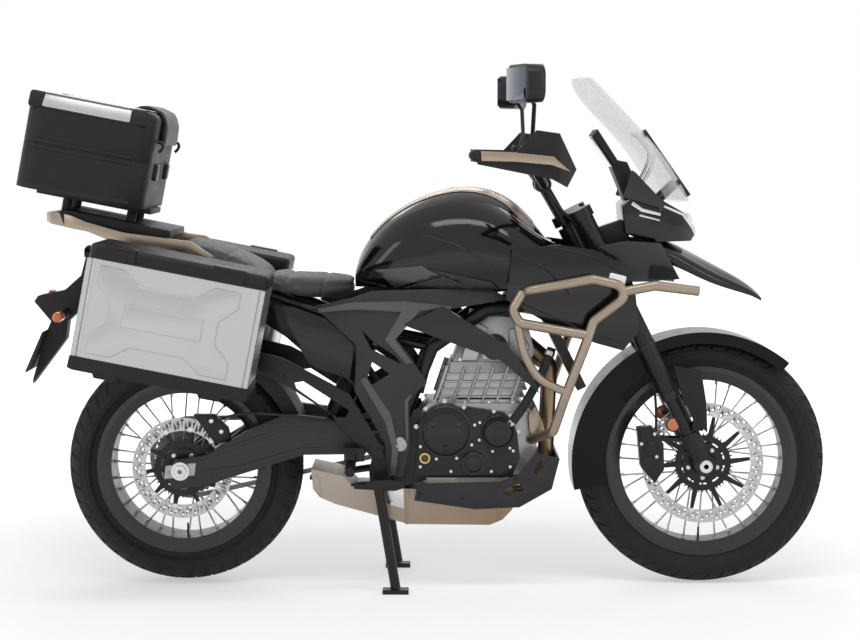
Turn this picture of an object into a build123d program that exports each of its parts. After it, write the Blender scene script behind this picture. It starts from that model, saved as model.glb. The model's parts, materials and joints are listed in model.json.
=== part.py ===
"""Adventure motorcycle with three luggage cases, parked on its centre stand.

Millimetres. +X is forward, +Y is the rider's left and +Z is up. The origin lies on the floor under the
middle of the machine. Side outlines are lists of (x, z) points, and y is the distance from the centre plane.
"""

from build123d import *
import os
from math import acos, atan2, cos, degrees, hypot, pi, radians, sin, tan

os.makedirs("parts", exist_ok=True)

# ---------------------------------------------------------------- driving dimensions
overall_length = 2109.0
wheelbase = 1370.0
front_tyre_radius = 329.5
front_tyre_width = 110.0
rear_tyre_radius = 312.0
rear_tyre_width = 160.0
rear_wheel_lift = 6.0          # gap under the rear tyre on the centre stand
rake = 26.5                    # steering axis from the vertical, degrees
fork_offset = 42.0             # legs ahead of the steering axis
fork_half_spacing = 105.0
steering_lock = 34.0           # each way, degrees

seat_clearance = 0.3           # between pieces that rest on each other
moving_clearance = 6.0         # between pieces on different bodies
running_clearance = 0.05       # radial, at axles and pins
sheet = 4.0                    # moulded panels

# The machine is laid out from its front axle, and the luggage and tail from its rearmost point.
front_axle = (725.0, front_tyre_radius)
rear_axle = (front_axle[0] - wheelbase, rear_tyre_radius + rear_wheel_lift)
front_tip = front_axle[0] + front_tyre_radius
rear_tip = front_tip - overall_length
centre_shift = -(front_tip + rear_tip) / 2      # brings the middle of the length over the origin
swingarm_pivot = (-72.0, 390.0)
stand_pivot = (-130.0, 290.0)
stand_pin = 11.0
side_stand_pivot = (-62.0, 195.0, 286.0)
side_stand_lean = 12.0         # of its hinge, so that the leg swings outwards, degrees
side_stand_pin = 6.0

rake_tan = tan(radians(rake))
axis_x0 = front_axle[0] - fork_offset / cos(radians(rake)) + front_axle[1] * rake_tan


def steer_x(z):
    """X of the steering axis at height z."""
    return axis_x0 - z * rake_tan


def leg_x(z):
    """X of the fork legs' centre line at height z."""
    return steer_x(z) + fork_offset / cos(radians(rake))


# ---------------------------------------------------------------- shape helpers
def slab(outline, y_from, y_to):
    """Flat piece with a side outline of (x, z) points, between two distances from the centre plane."""
    edge = Polyline(*[(x, y_from, z) for x, z in outline], close=True)
    return extrude(make_face(edge), amount=y_to - y_from, dir=(0, 1, 0))


def from_tip(points):
    """Side outline whose x is counted forward from the machine's rearmost point."""
    return [(rear_tip + x, z) for x, z in points]


def block(x_range, y_range, z_range):
    """Box between three pairs of limits."""
    size = [b - a for a, b in (x_range, y_range, z_range)]
    middle = [(a + b) / 2 for a, b in (x_range, y_range, z_range)]
    return Pos(*middle) * Box(*size)


def rod(start, end, diameter):
    """Round bar between two points."""
    run = Vector(*end) - Vector(*start)
    return Plane(origin=start, z_dir=run) * Cylinder(
        diameter / 2, run.length, align=(Align.CENTER, Align.CENTER, Align.MIN)
    )


def bent_tube(points, diameter, bend):
    """Round tube along straight runs joined by arcs of one bend radius."""
    path = FilletPolyline(*points, radius=bend)
    return sweep(Plane(origin=path @ 0, z_dir=path % 0) * Circle(diameter / 2), path=path)


def turned(profile, centre, angle=360.0, start=0.0):
    """Body turned about a crosswise axis at centre (x, z); the profile is a list of (radius, y) points.

    The start is the turn's first angle, from +X towards +Z.
    """
    cx, cz = centre
    edge = Polyline(*[(cx + r, y, cz) for r, y in profile], close=True)
    face = make_face(edge)
    if start:
        face = face.rotate(Axis((cx, 0, cz), (0, -1, 0)), start)
    return revolve(face, axis=Axis((cx, 0, cz), (0, -1, 0)), revolution_arc=angle)


def disc(centre, radius, y_range, bore=0.0):
    """Round plate across the machine, with an optional bore."""
    low, high = y_range
    inner = bore if bore else 0.0
    return turned([(inner, low), (radius, low), (radius, high), (inner, high)], centre)


def arch(x, half_base, z_base, half_waist, z_waist, half_shoulder, z_shoulder, z_crown):
    """Cross-section of a body panel: flat base, bowed sides and a bowed crown."""
    right = ThreePointArc(
        (x, -half_base, z_base), (x, -half_waist, z_waist), (x, -half_shoulder, z_shoulder)
    )
    crown = ThreePointArc(
        (x, -half_shoulder, z_shoulder), (x, 0, z_crown), (x, half_shoulder, z_shoulder)
    )
    left = ThreePointArc(
        (x, half_shoulder, z_shoulder), (x, half_waist, z_waist), (x, half_base, z_base)
    )
    base = Line((x, half_base, z_base), (x, -half_base, z_base))
    return make_face(right + crown + left + base)


def bowed(outline, middle, y_outer, radius, thickness=sheet):
    """Right-hand panel bowed both ways: it stands out most at the middle (x, z), where its outer face is y_outer."""
    place = Pos(middle[0], y_outer + radius, middle[1])
    shell = place * Sphere(radius) - place * Sphere(radius - thickness)
    return shell & slab(outline, y_outer - 1, y_outer + 80)


def other_side(shape):
    """The same piece on the other side of the machine."""
    return mirror(shape, about=Plane.XZ)


nodes = {}


def pair(right_piece):
    """A right-hand piece with its mirror image."""
    return right_piece + other_side(right_piece)


# ---------------------------------------------------------------- wheels
axle_radius = 10.0
axle_bore = 6.0
rim_wall = 5.0
rim_lip = 10.0
spoke_diameter = 4.5
spoke_count = 32
hub_radius = 30.0
disc_thickness = 5.0
carrier_arms = 5


def tyre(centre, radius, width, rim_radius):
    """Tyre with a round crown, down to its beads on the rim."""
    half = width / 2
    cx, cz = centre
    shoulder = radius - 0.28 * width
    bead = 0.36 * width
    flange = rim_radius + rim_lip + 2.0

    def at(r, y):
        return (cx + r, y, cz)

    crown = ThreePointArc(at(shoulder, -half), at(radius, 0), at(shoulder, half))
    inner_r = radius - 0.13 * width
    inner_half = half - 7.0
    outline = (
        crown
        + Polyline(at(shoulder, half), at(flange, bead), at(rim_radius, bead), at(rim_radius, bead - 9))
        + Line(at(rim_radius, bead - 9), at(shoulder - 4, inner_half))
        + ThreePointArc(at(shoulder - 4, inner_half), at(inner_r, 0), at(shoulder - 4, -inner_half))
        + Polyline(at(shoulder - 4, -inner_half), at(rim_radius, 9 - bead), at(rim_radius, -bead))
        + Polyline(at(rim_radius, -bead), at(flange, -bead), at(shoulder, -half))
    )
    return revolve(make_face(outline), axis=Axis((cx, 0, cz), (0, 1, 0)), revolution_arc=360)


def spoked_rim(centre, rim_radius, width, hub_half):
    """Rim, hub and laced spokes of a wire wheel, as one piece."""
    cx, cz = centre
    half = 0.36 * width
    top = rim_radius - seat_clearance
    well = rim_radius - 22.0
    lip = rim_radius + rim_lip
    flange = half + 1.0
    rim = turned(
        [
            (top, -half), (well, 6 - half), (well, half - 6), (top, half), (lip, flange),
            (lip, flange + 4), (top - 3, flange + 4), (well - rim_wall, half - 4),
            (well - rim_wall, 4 - half), (top - 3, -flange - 4), (lip, -flange - 4), (lip, -flange),
        ],
        centre,
    )
    bore = axle_radius + running_clearance
    flange_radius = hub_radius + 14.0
    hub = turned(
        [
            (bore, -hub_half), (hub_radius, -hub_half), (hub_radius, 8 - hub_half),
            (flange_radius, 8 - hub_half), (flange_radius, 14 - hub_half),
            (hub_radius - 4, 20 - hub_half), (hub_radius - 4, hub_half - 20),
            (flange_radius, hub_half - 14), (flange_radius, hub_half - 8),
            (hub_radius, hub_half - 8), (hub_radius, hub_half), (bore, hub_half),
        ],
        centre,
    )
    wheel = rim + hub
    lace = 28.0                    # how far each spoke leans round the hub, degrees
    anchor = flange_radius - 5.0
    spokes = []
    for i in range(spoke_count):
        at_rim = 360.0 * i / spoke_count
        side = -1 if i % 2 else 1
        lean = lace if i % 4 < 2 else -lace
        at_hub = radians(at_rim + lean)
        at_rim = radians(at_rim)
        start = (cx + anchor * cos(at_hub), side * (hub_half - 11), cz + anchor * sin(at_hub))
        reach = well - rim_wall / 2
        end = (cx + reach * cos(at_rim), side * 0.12 * width, cz + reach * sin(at_rim))
        spokes.append(rod(start, end, spoke_diameter))
    return wheel.fuse(*spokes)


def brake_disc(centre, radius, y_inner, y_outer, hub_face):
    """Brake disc on an armed carrier that bolts to the hub's end face."""
    band = disc(centre, radius, (y_outer, y_inner), bore=radius - 34.0)
    carrier = disc(centre, radius - 30.0, (y_outer - 2, y_inner + 2), bore=radius - 60.0)
    ring = disc(centre, hub_radius + 8.0, (y_outer - 2, hub_face), bore=axle_radius + 6.0)
    cx, cz = centre
    plate = band + carrier + ring
    inner, outer = hub_radius + 2.0, radius - 52.0
    for i in range(carrier_arms):
        arm = Pos((inner + outer) / 2, 0, 0) * Box(outer - inner, y_inner - y_outer + 2, 14.0)
        turn = Location((cx, (y_inner + y_outer) / 2, cz), (0, 360.0 * i / carrier_arms + 18.0, 0))
        plate = plate + turn * arm
    return plate


front_rim_radius = 243.0
rear_rim_radius = 221.0
front_hub_half = 60.0
rear_hub_half = 72.0
front_disc_radius = 160.0
rear_disc_radius = 133.0
front_disc_y = -70.0
rear_disc_y = -88.0

nodes["front_tyre"] = tyre(front_axle, front_tyre_radius, front_tyre_width, front_rim_radius)
nodes["front_rim"] = spoked_rim(front_axle, front_rim_radius, front_tyre_width, front_hub_half)
nodes["front_disc"] = brake_disc(
    front_axle, front_disc_radius, front_disc_y + disc_thickness, front_disc_y,
    -front_hub_half - seat_clearance,
)
nodes["rear_tyre"] = tyre(rear_axle, rear_tyre_radius, rear_tyre_width, rear_rim_radius)
nodes["rear_rim"] = spoked_rim(rear_axle, rear_rim_radius, rear_tyre_width, rear_hub_half)
nodes["rear_disc"] = brake_disc(
    rear_axle, rear_disc_radius, rear_disc_y + disc_thickness, rear_disc_y,
    -rear_hub_half - seat_clearance,
)

# ---------------------------------------------------------------- chain drive
chain_pitch = 15.875
chain_y = 92.0
chain_width = 14.0
chain_depth = 12.0
front_sprocket_teeth = 15
rear_sprocket_teeth = 42
sprocket_thickness = 6.0
front_sprocket = (14.0, 396.0)


def pitch_radius(teeth):
    """Pitch radius of a sprocket."""
    return chain_pitch / (2 * sin(pi / teeth))


def sprocket(centre, teeth, y_range, bore):
    """Toothed wheel whose tips stay inside the chain's loop."""
    tip = pitch_radius(teeth) - chain_depth / 2 - 1.0
    root = tip - 5.0
    cx, cz = centre
    points = []
    for i in range(teeth):
        for share, r in ((0.0, root), (0.35, tip), (0.65, tip)):
            a = 2 * pi * (i + share) / teeth
            points.append((cx + r * cos(a), cz + r * sin(a)))
    wheel = slab(points, *y_range)
    return wheel - disc(centre, bore, (y_range[0] - 1, y_range[1] + 1))


def belt_loop(centre_a, radius_a, centre_b, radius_b, y_range):
    """Solid outline of a loop drawn tight round two discs; a is behind b."""
    (ax, az), (bx, bz) = centre_a, centre_b
    span = hypot(bx - ax, bz - az)
    tilt = atan2(bz - az, bx - ax)
    spread = acos((radius_a - radius_b) / span)
    y = y_range[0]

    def on(centre, radius, angle):
        return (centre[0] + radius * cos(angle), y, centre[1] + radius * sin(angle))

    upper, lower = tilt + spread, tilt - spread
    edge = (
        Line(on(centre_a, radius_a, upper), on(centre_b, radius_b, upper))
        + ThreePointArc(
            on(centre_b, radius_b, upper), on(centre_b, radius_b, tilt), on(centre_b, radius_b, lower)
        )
        + Line(on(centre_b, radius_b, lower), on(centre_a, radius_a, lower))
        + ThreePointArc(
            on(centre_a, radius_a, lower), on(centre_a, radius_a, tilt + pi), on(centre_a, radius_a, upper)
        )
    )
    return extrude(make_face(edge), amount=y_range[1] - y_range[0], dir=(0, 1, 0))


chain_sides = (chain_y - chain_width / 2, chain_y + chain_width / 2)
sprocket_sides = (chain_y - sprocket_thickness / 2, chain_y + sprocket_thickness / 2)
rear_pitch = pitch_radius(rear_sprocket_teeth)
front_pitch = pitch_radius(front_sprocket_teeth)
nodes["chain"] = belt_loop(
    rear_axle, rear_pitch + chain_depth / 2, front_sprocket, front_pitch + chain_depth / 2, chain_sides
) - belt_loop(
    rear_axle, rear_pitch - chain_depth / 2, front_sprocket, front_pitch - chain_depth / 2,
    (chain_sides[0] - 1, chain_sides[1] + 1),
)
nodes["rear_sprocket"] = sprocket(rear_axle, rear_sprocket_teeth, sprocket_sides, 40.0) + disc(
    rear_axle, 62.0, (rear_hub_half + seat_clearance, sprocket_sides[1]), bore=axle_radius + 6.0
)

# ---------------------------------------------------------------- fork and steering
head_low, head_high = 838.0, 950.0      # heights of the head tube's ends on the steering axis
clamp_thickness = 26.0
leg_diameter = 50.0
stanchion_diameter = 41.0
leg_top = 968.0
outer_bottom = 515.0
stanchion_bottom = 402.0
head_radius = 27.0
stem_radius = 14.0

axis_up = Vector(-sin(radians(rake)), 0, cos(radians(rake)))


def on_axis(z, y=0.0):
    """Point on the steering axis, or beside it."""
    return (steer_x(z), y, z)


def on_leg(z, y):
    """Point on a fork leg's centre line."""
    return (leg_x(z), y, z)


def clamp(z):
    """Bridge that holds both fork legs, square to the steering axis."""
    at = Plane(origin=on_axis(z), x_dir=(cos(radians(rake)), 0, sin(radians(rake))), z_dir=axis_up)
    reach = fork_half_spacing
    end_radius = leg_diameter / 2 + 5
    plan = Polyline(
        (24 - head_radius, -head_radius), (fork_offset - 20, -reach), (fork_offset + 14, -reach),
        (fork_offset + 8, 0), (fork_offset + 14, reach), (fork_offset - 20, reach),
        (24 - head_radius, head_radius), close=True,
    )
    bar = extrude(make_face(plan), amount=clamp_thickness / 2, both=True)
    ends = [
        Pos(fork_offset, side * reach, 0) * Cylinder(end_radius, clamp_thickness) for side in (-1, 1)
    ]
    boss = Cylinder(head_radius + 4, clamp_thickness)
    return at * (bar + boss + ends[0] + ends[1])


lower_clamp_z = head_low - clamp_thickness / 2 - moving_clearance
upper_clamp_z = head_high + clamp_thickness / 2 + moving_clearance
legs = []
for side in (-1, 1):
    y = side * fork_half_spacing
    legs.append(rod(on_leg(outer_bottom, y), on_leg(leg_top + 8, y), leg_diameter))
    legs.append(rod(on_leg(stanchion_bottom, y), on_leg(outer_bottom + 10, y), stanchion_diameter))
    legs.append(rod(on_leg(front_axle[1] + 8, y), on_leg(stanchion_bottom + 12, y), leg_diameter + 2))
    legs.append(disc(front_axle, 27.0, sorted((y - side * 26, y + side * 24))))
stem = rod(on_axis(lower_clamp_z), on_axis(upper_clamp_z), 2 * stem_radius)
axle = disc(front_axle, axle_radius, (-fork_half_spacing, fork_half_spacing))
fork = clamp(lower_clamp_z) + clamp(upper_clamp_z) + stem + axle
for leg in legs:
    fork = fork + leg
nodes["fork"] = fork - disc(front_axle, axle_bore, (-200, 200))

head_tube = rod(on_axis(head_low), on_axis(head_high), 2 * head_radius) - rod(
    on_axis(head_low - 30), on_axis(head_high + 30), 2 * (stem_radius + running_clearance)
)

# Handlebar: points run from the middle out to the right-hand end.
bar_diameter = 24.0
grip_diameter = 34.0
grip_length = 125.0
bar_height = 1062.0
bar_x = 300.0
bar_end = (134.0, -428.0, 1134.0)
bar_run = [
    (bar_x, 0, bar_height), (bar_x, -95, bar_height), (262.0, -205, 1118.0), bar_end,
]
half_bar = bent_tube(bar_run, bar_diameter, 45.0)
grip_dir = (Vector(*bar_run[3]) - Vector(*bar_run[2])).normalized()
grip_start = Vector(*bar_end) - grip_dir * grip_length
grip = rod(tuple(grip_start), tuple(Vector(*bar_end) + grip_dir * 6), grip_diameter)
switch_end = grip_start - grip_dir * 55
switches = rod(tuple(grip_start - grip_dir * 4), tuple(switch_end), 44.0)
riser_foot = (upper_clamp_z + clamp_thickness / 2 + 4)
risers = [
    rod((steer_x(riser_foot) - 2, side * 48, riser_foot - 8), (bar_x, side * 48, bar_height), 26.0)
    for side in (-1, 1)
]
bar_clamps = [
    Pos(bar_x, side * 48, bar_height) * Rot(90, 0, 0) * Cylinder(22.0, 34.0) for side in (-1, 1)
]
handlebar = half_bar + other_side(half_bar)
for piece in (grip, switches):
    handlebar = handlebar + piece + other_side(piece)
for piece in risers + bar_clamps:
    handlebar = handlebar + piece
nodes["handlebar"] = handlebar - clamp(upper_clamp_z)

# Hand guards: a strip bent in plan and cut to its side outline.
guard_side = [
    (120, 1152), (215, 1150), (262, 1200), (318, 1192), (362, 1105), (338, 1062), (300, 1082), (120, 1118),
]
guard_plan_outer = [(372, -262), (362, -400), (318, -446), (120, -452)]
guard_plan_inner = [(120, -446), (314, -440), (356, -396), (366, -262)]
guard_strip = extrude(
    make_face(Polyline(*[(x, y, 1050) for x, y in guard_plan_outer + guard_plan_inner], close=True)),
    amount=170.0, dir=(0, 0, 1),
)
guard = guard_strip & slab(guard_side, -470, -250)
guard_end = rod((126, -447, 1135), (134, -428, 1134), 26.0)
guard = (guard + guard_end) - nodes["handlebar"]
nodes["hand_guards"] = guard + other_side(guard)

# Mirrors on stems from the handlebar.
mirror_centre = (238.0, -405.0, 1312.0)
mirror_stem = bent_tube(
    [(247, -232, 1120), (262, -262, 1195), (262, -330, 1262), (246, -392, 1296)], 11.0, 18.0
) - nodes["handlebar"]
mirror_head = Location(mirror_centre, (0, 0, 18)) * extrude(
    Plane.YZ * RectangleRounded(150, 92, 30), amount=22, both=True
)
nodes["mirrors"] = (mirror_head + mirror_stem) + other_side(mirror_head + mirror_stem)

# Front mudguard: an arched sheet over the tyre, with deep sides behind the fork.
guard_gap = 13.0
fender_half = 76.0
fender_inner = front_tyre_radius + guard_gap


def fender_band(depth, start, sweep_angle):
    """Stretch of the mudguard's U-section, round the front axle."""
    outer = fender_inner + sheet
    low = fender_inner - depth
    ring = [
        (low, -fender_half), (outer, -fender_half), (outer, fender_half), (low, fender_half),
        (low, fender_half - sheet), (fender_inner, fender_half - sheet),
        (fender_inner, sheet - fender_half), (low, sheet - fender_half),
    ]
    return turned(ring, front_axle, angle=sweep_angle, start=start)


fender = fender_band(26.0, 50.0, 62.0) + fender_band(60.0, 112.0, 30.0) + fender_band(86.0, 142.0, 50.0)
for side in (-1, 1):
    z = 602.0
    y_leg = side * (fork_half_spacing - leg_diameter / 2 - 0.3)
    stay = block(
        (leg_x(z) - 16, leg_x(z) + 16), sorted((side * (fender_half - 2), y_leg)), (z - 14, z + 14)
    )
    fender = fender + stay
nodes["front_fender"] = fender - nodes["fork"]

# Front brake caliper on the right-hand leg.
caliper_angle = 172.0
caliper_mid = (
    front_axle[0] + (front_disc_radius - 18) * cos(radians(caliper_angle)),
    front_axle[1] + (front_disc_radius - 18) * sin(radians(caliper_angle)) + 14,
)
cal_x, cal_z = caliper_mid
caliper_outline = [
    (cal_x - 36, cal_z + 62), (cal_x + 4, cal_z + 66), (cal_x + 34, cal_z + 20),
    (cal_x + 36, cal_z - 48), (cal_x + 12, cal_z - 84), (cal_x - 26, cal_z - 40),
]
disc_slot = block(
    (cal_x - 80, cal_x + 120), (front_disc_y - 2, front_disc_y + disc_thickness + 2), (cal_z - 120, cal_z + 90)
)
caliper = slab(caliper_outline, front_disc_y - 22, front_disc_y + 18)
disc_sweep = disc(front_axle, front_disc_radius + 3, (front_disc_y - 2.5, front_disc_y + disc_thickness + 2.5))
bridge = rod((cal_x + 24, front_disc_y - 14, cal_z + 34), (leg_x(cal_z) - 4, front_disc_y - 26, cal_z + 34), 16.0)
nodes["front_caliper"] = (caliper - disc_sweep) + bridge - nodes["fork"]

# Plastic guards over the bright fork tubes.
fork_guard_outline = [(636, 596), (708, 582), (722, 500), (726, 420), (690, 452), (664, 500)]
fork_guard = slab(
    fork_guard_outline, -fork_half_spacing - leg_diameter / 2 - 10, -fork_half_spacing - leg_diameter / 2 - 2
)
guard_foot = block((688, 716), (-fork_half_spacing - leg_diameter / 2 - 3, -fork_half_spacing), (424, 446))
fork_guard = (fork_guard + guard_foot) - nodes["fork"]
nodes["fork_guards"] = fork_guard + other_side(fork_guard)

# ---------------------------------------------------------------- frame
spar_y = 110.0
plate_half = 5.5
side_eye_half = 10.0


def side_hinge_rod(start, end, diameter):
    """Bar along the side stand's hinge, between two distances inwards from the leg."""
    inward = Vector(0, -cos(radians(side_stand_lean)), -sin(radians(side_stand_lean)))
    centre = Vector(*side_stand_pivot)
    return rod(tuple(centre + inward * start), tuple(centre + inward * end), diameter)


pivot_plate = [(-122, 470), (-20, 478), (2, 400), (-4, 292), (-60, 276), (-112, 264), (-150, 266), (-154, 312),
               (-146, 356)]
spar_tube = 36.0
neck_z = (head_low + head_high) / 2
neck = (steer_x(neck_z), neck_z)
neck_low = 862.0
spar_run = [(-62, -spar_y, 462), (10, -spar_y, 640), (150, -spar_y, 738), (288, -92, 754), (364, -46, 826),
            (steer_x(neck_low) - 4, -8, neck_low)]
neck_bore = rod(on_axis(700), on_axis(1000), 2 * (head_radius - 3))
side_frame = slab(pivot_plate, -spar_y - plate_half, -spar_y + plate_half)
side_frame = side_frame + bent_tube(spar_run, spar_tube, 24.0)
side_frame = side_frame + disc(swingarm_pivot, 10.0, (-spar_y - 14, -spar_y + plate_half))
side_frame = side_frame - disc(stand_pivot, stand_pin + running_clearance, (-200, 0)) - neck_bore
frame = head_tube + side_frame + other_side(side_frame)
side_lug = side_hinge_rod(side_eye_half + seat_clearance, 86.0, 32.0) - side_hinge_rod(
    0.0, 90.0, 2 * (side_stand_pin + running_clearance)
)
frame = frame + (side_lug - block((-200, 200), (0, spar_y - plate_half), (200, 400)))
tank_base = 796.0
tank_posts = [rod((170, side * 104, 742), (170, side * 104, tank_base - seat_clearance), 22.0) for side in (-1, 1)]
nodes["main_frame"] = frame + disc(swingarm_pivot, 10.0, (-spar_y, spar_y)) + tank_posts[0] + tank_posts[1]

brace_run = [(-110, -spar_y + 8, 468), (-300, -104, 640), (-430, -104, 772)]
subframe = bent_tube([(10, -spar_y + 6, 640), (-90, -98, 660), (-420, -104, 782), (-720, -92, 852)], 24.0, 60.0)
subframe = subframe + bent_tube(brace_run, 22.0, 60.0)
shock_beam = rod((-150, -99, 683), (-150, 99, 683), 26.0)
rear_beam = rod((-660, -94, 836), (-660, 94, 836), 18.0)
nodes["subframe"] = (pair(subframe) + shock_beam + rear_beam) - nodes["main_frame"]

# ---------------------------------------------------------------- engine
case_half = 98.0
crankcase = slab(
    [(-36, 303), (236, 303), (286, 350), (284, 440), (240, 492), (0, 492), (-40, 440)], -case_half, case_half
)
cylinder = slab([(22, 486), (232, 486), (262, 600), (60, 600)], -92, 92)
head = slab([(62, 594), (262, 594), (280, 625), (262, 692), (234, 716), (112, 726)], -88, 88)
fins = [
    slab([(16 + lean, z), (246 + lean, z), (247 + lean, z + 5), (17 + lean, z + 5)], -98, 98)
    for z, lean in ((506, 6), (526, 12), (546, 18), (566, 24))
]
sprocket_recess = block((-80, 68), (chain_sides[0] - 5, case_half + 5), (300, 462))
cam_cover = slab([(128, 700), (238, 690), (216, 738), (146, 744)], -70, 70)
engine = crankcase + cylinder + head + cam_cover
for fin in fins:
    engine = engine + fin
nodes["engine_block"] = engine - sprocket_recess

clutch_centre = (46.0, 438.0)
cover_depth = 66.0


def cover(centre, radius, step):
    """Round engine cover with a raised middle, on the right-hand case face."""
    outer = -case_half - seat_clearance
    low = disc(centre, radius, (outer - cover_depth + step, outer))
    return low + disc(centre, radius * 0.72, (outer - cover_depth, outer))


right_cover = slab(
    [(-34, 306), (220, 306), (240, 352), (232, 420), (200, 470), (96, 486), (-20, 470)],
    -case_half - seat_clearance - 34, -case_half - seat_clearance,
)
right_covers = right_cover + cover((46.0, 424.0), 70.0, 10.0) + cover((182.0, 422.0), 46.0, 22.0)
right_covers = right_covers + disc((118.0, 340.0), 31.0, (-case_half - 48, -case_half - seat_clearance))
left_cover = slab(
    [(72, 306), (220, 306), (240, 352), (232, 420), (200, 470), (96, 480), (74, 400)],
    case_half + seat_clearance, case_half + seat_clearance + 34,
)
left_covers = left_cover + disc((150.0, 400.0), 66.0, (case_half + seat_clearance, case_half + 58))
head_cap = disc((174.0, 640.0), 34.0, (-100, -88 - seat_clearance))
nodes["engine_covers"] = (right_covers + left_covers + pair(head_cap)) - nodes["main_frame"]
nodes["front_sprocket"] = sprocket(front_sprocket, front_sprocket_teeth, sprocket_sides, 0.5) + disc(
    front_sprocket, 12.0, (chain_sides[0] - 5 + seat_clearance, sprocket_sides[1] + 4)
)

radiator_place = Location((352.0, 0, 630.0), (0, -rake, 0))
radiator_core = (26.0, 292.0, 210.0)
radiator = Box(*radiator_core)
for side in (-1, 1):
    radiator = radiator + Pos(0, side * 96.0, radiator_core[2] / 2 + 16) * Box(14, 12, 40)
nodes["radiator"] = radiator_place * radiator - nodes["main_frame"]

# ---------------------------------------------------------------- exhaust and bash plate
silencer = slab(
    [(-306, 318), (-302, 265), (-284, 243), (-242, 225), (-50, 172), (162, 170), (196, 184), (222, 212),
     (222, 266), (-190, 266), (-222, 300)],
    -104, 66,
)
header = bent_tube([(262, -44, 640), (322, -44, 590), (312, -30, 300), (262, -26, 236), (200, -26, 232)], 38.0, 36.0)
nodes["exhaust"] = silencer + (pair(header) - nodes["engine_block"])

bash_outline = [(-26, 288), (186, 293), (235, 312), (280, 370), (342, 353), (322, 274), (238, 226), (121, 221),
                (-36, 244)]
bash_side = slab(bash_outline, -152, -147)
bash_front = slab([(342, 353), (336, 356), (316, 278), (322, 274)], -150, 150)
bash_holes = slab([(190, 268), (236, 290), (252, 272), (214, 256)], -160, 160) + slab(
    [(294, 352), (304, 349), (290, 306), (274, 320)], -160, 160
)
nodes["bash_plate"] = (bash_side + other_side(bash_side) - bash_holes) + bash_front - nodes["exhaust"]

# ---------------------------------------------------------------- swingarm, shock, rear brake
arm_outer, arm_inner = 130.0, 104.0
pivot_half = spar_y - plate_half - 1.0
ax, az = rear_axle
arm_outline = [
    (ax - 40, az - 4), (ax - 18, az + 26), (ax + 68, az + 40), (-463, 428), (-368, 467), (-250, 452), (-162, 420),
    (-162, 362), (-322, 360), (-487, 309), (ax + 71, az - 37), (ax - 21, az - 50),
]
arm = slab(arm_outline, -arm_outer, -arm_inner)
front_arm = slab([(-300, 412), (-72, 412), (-52, 390), (-72, 364), (-300, 364)], -pivot_half, -60)
arm = arm + front_arm
cross_beam = slab([(-320, 410), (-262, 414), (-262, 362), (-320, 366)], -arm_outer + 2, arm_outer - 2)
pivot_tube = disc(swingarm_pivot, 24.0, (-pivot_half, pivot_half), bore=10.0 + running_clearance)
bore_cut = disc(swingarm_pivot, 10.0 + running_clearance, (-200, 200))
axle_rear = disc(rear_axle, axle_radius, (-arm_outer - 8, arm_outer + 8))
swingarm = (arm + other_side(arm) + cross_beam) - bore_cut + pivot_tube
nodes["swingarm"] = (swingarm + axle_rear) - disc(rear_axle, axle_bore, (-200, 200))

shock_foot = Vector(-266, 0, 398)
shock_head = Vector(-152, 0, 672)
shock_spring = rod(tuple(shock_foot * 0.8 + shock_head * 0.2), tuple(shock_foot * 0.1 + shock_head * 0.9), 62.0)
shock_body = rod(tuple(shock_foot), tuple(shock_head), 36.0)
nodes["shock"] = (shock_body + shock_spring) - nodes["swingarm"] - nodes["subframe"]

rear_caliper_mid = (ax + 92.0, az + 108.0)
rc_x, rc_z = rear_caliper_mid
rear_caliper = slab(
    [(rc_x - 60, rc_z + 36), (rc_x - 6, rc_z + 36), (rc_x + 30, rc_z), (rc_x + 36, rc_z - 34), (rc_x - 4, rc_z - 40)],
    rear_disc_y - 22, rear_disc_y + 4 + disc_thickness,
)
rear_sweep = disc(rear_axle, rear_disc_radius + 3, (rear_disc_y - 2.5, rear_disc_y + disc_thickness + 2.5))
nodes["rear_caliper"] = (rear_caliper - rear_sweep) - nodes["swingarm"]

# ---------------------------------------------------------------- tank, seats and body panels
# x, half_base, z_base, half_waist, z_waist, half_shoulder, z_shoulder, z_crown
tank_sections = [
    (-190, 66, 796, 74, 812, 50, 832, 842),
    (-150, 88, 796, 104, 850, 60, 908, 924),
    (-50, 122, 796, 146, 872, 92, 985, 1009),
    (75, 146, 796, 176, 890, 108, 1018, 1051),
    (200, 158, 796, 186, 880, 92, 996, 1028),
    (296, 150, 802, 162, 836, 36, 914, 938),
    (330, 134, 822, 140, 838, 30, 882, 896),
]
nodes["tank"] = loft([arch(*row) for row in tank_sections])

rider_sections = [
    (-192, 58, 776, 66, 790, 46, 815, 822),
    (-260, 98, 764, 112, 786, 84, 818, 828),
    (-340, 132, 772, 146, 796, 112, 820, 829),
    (-412, 142, 790, 152, 810, 118, 832, 841),
]
pillion_sections = [
    (-413, 142, 793, 152, 812, 118, 836, 846),
    (-470, 142, 815, 150, 838, 116, 868, 879),
    (-530, 140, 836, 146, 862, 112, 894, 905),
    (-640, 126, 856, 132, 880, 100, 910, 922),
]
nodes["rider_seat"] = loft([arch(*row) for row in rider_sections]) - nodes["tank"]
nodes["pillion_seat"] = loft([arch(*row) for row in pillion_sections])

tail_sections = [
    (-360, 96, 730, 104, 744, 90, 756, 762),
    (-500, 98, 770, 106, 788, 92, 806, 812),
    (-700, 84, 820, 92, 836, 78, 848, 852),
    (rear_tip + 154.5, 56, 872, 62, 884, 52, 894, 900),
]
nodes["tail_cover"] = loft([arch(*row) for row in tail_sections]) - nodes["subframe"]
seat_panel = slab(
    [(-439, 716), (-429, 757), (-405, 756), (-343, 745), (-190, 690), (-196, 610), (-204, 560), (-305, 592),
     (-329, 634), (-367, 668)],
    -129, -124,
)
panel_lug = rod((-300, -125, 645), (-300, -104, 640), 14.0)
nodes["seat_panels"] = pair(seat_panel + (panel_lug - nodes["subframe"]))

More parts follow.
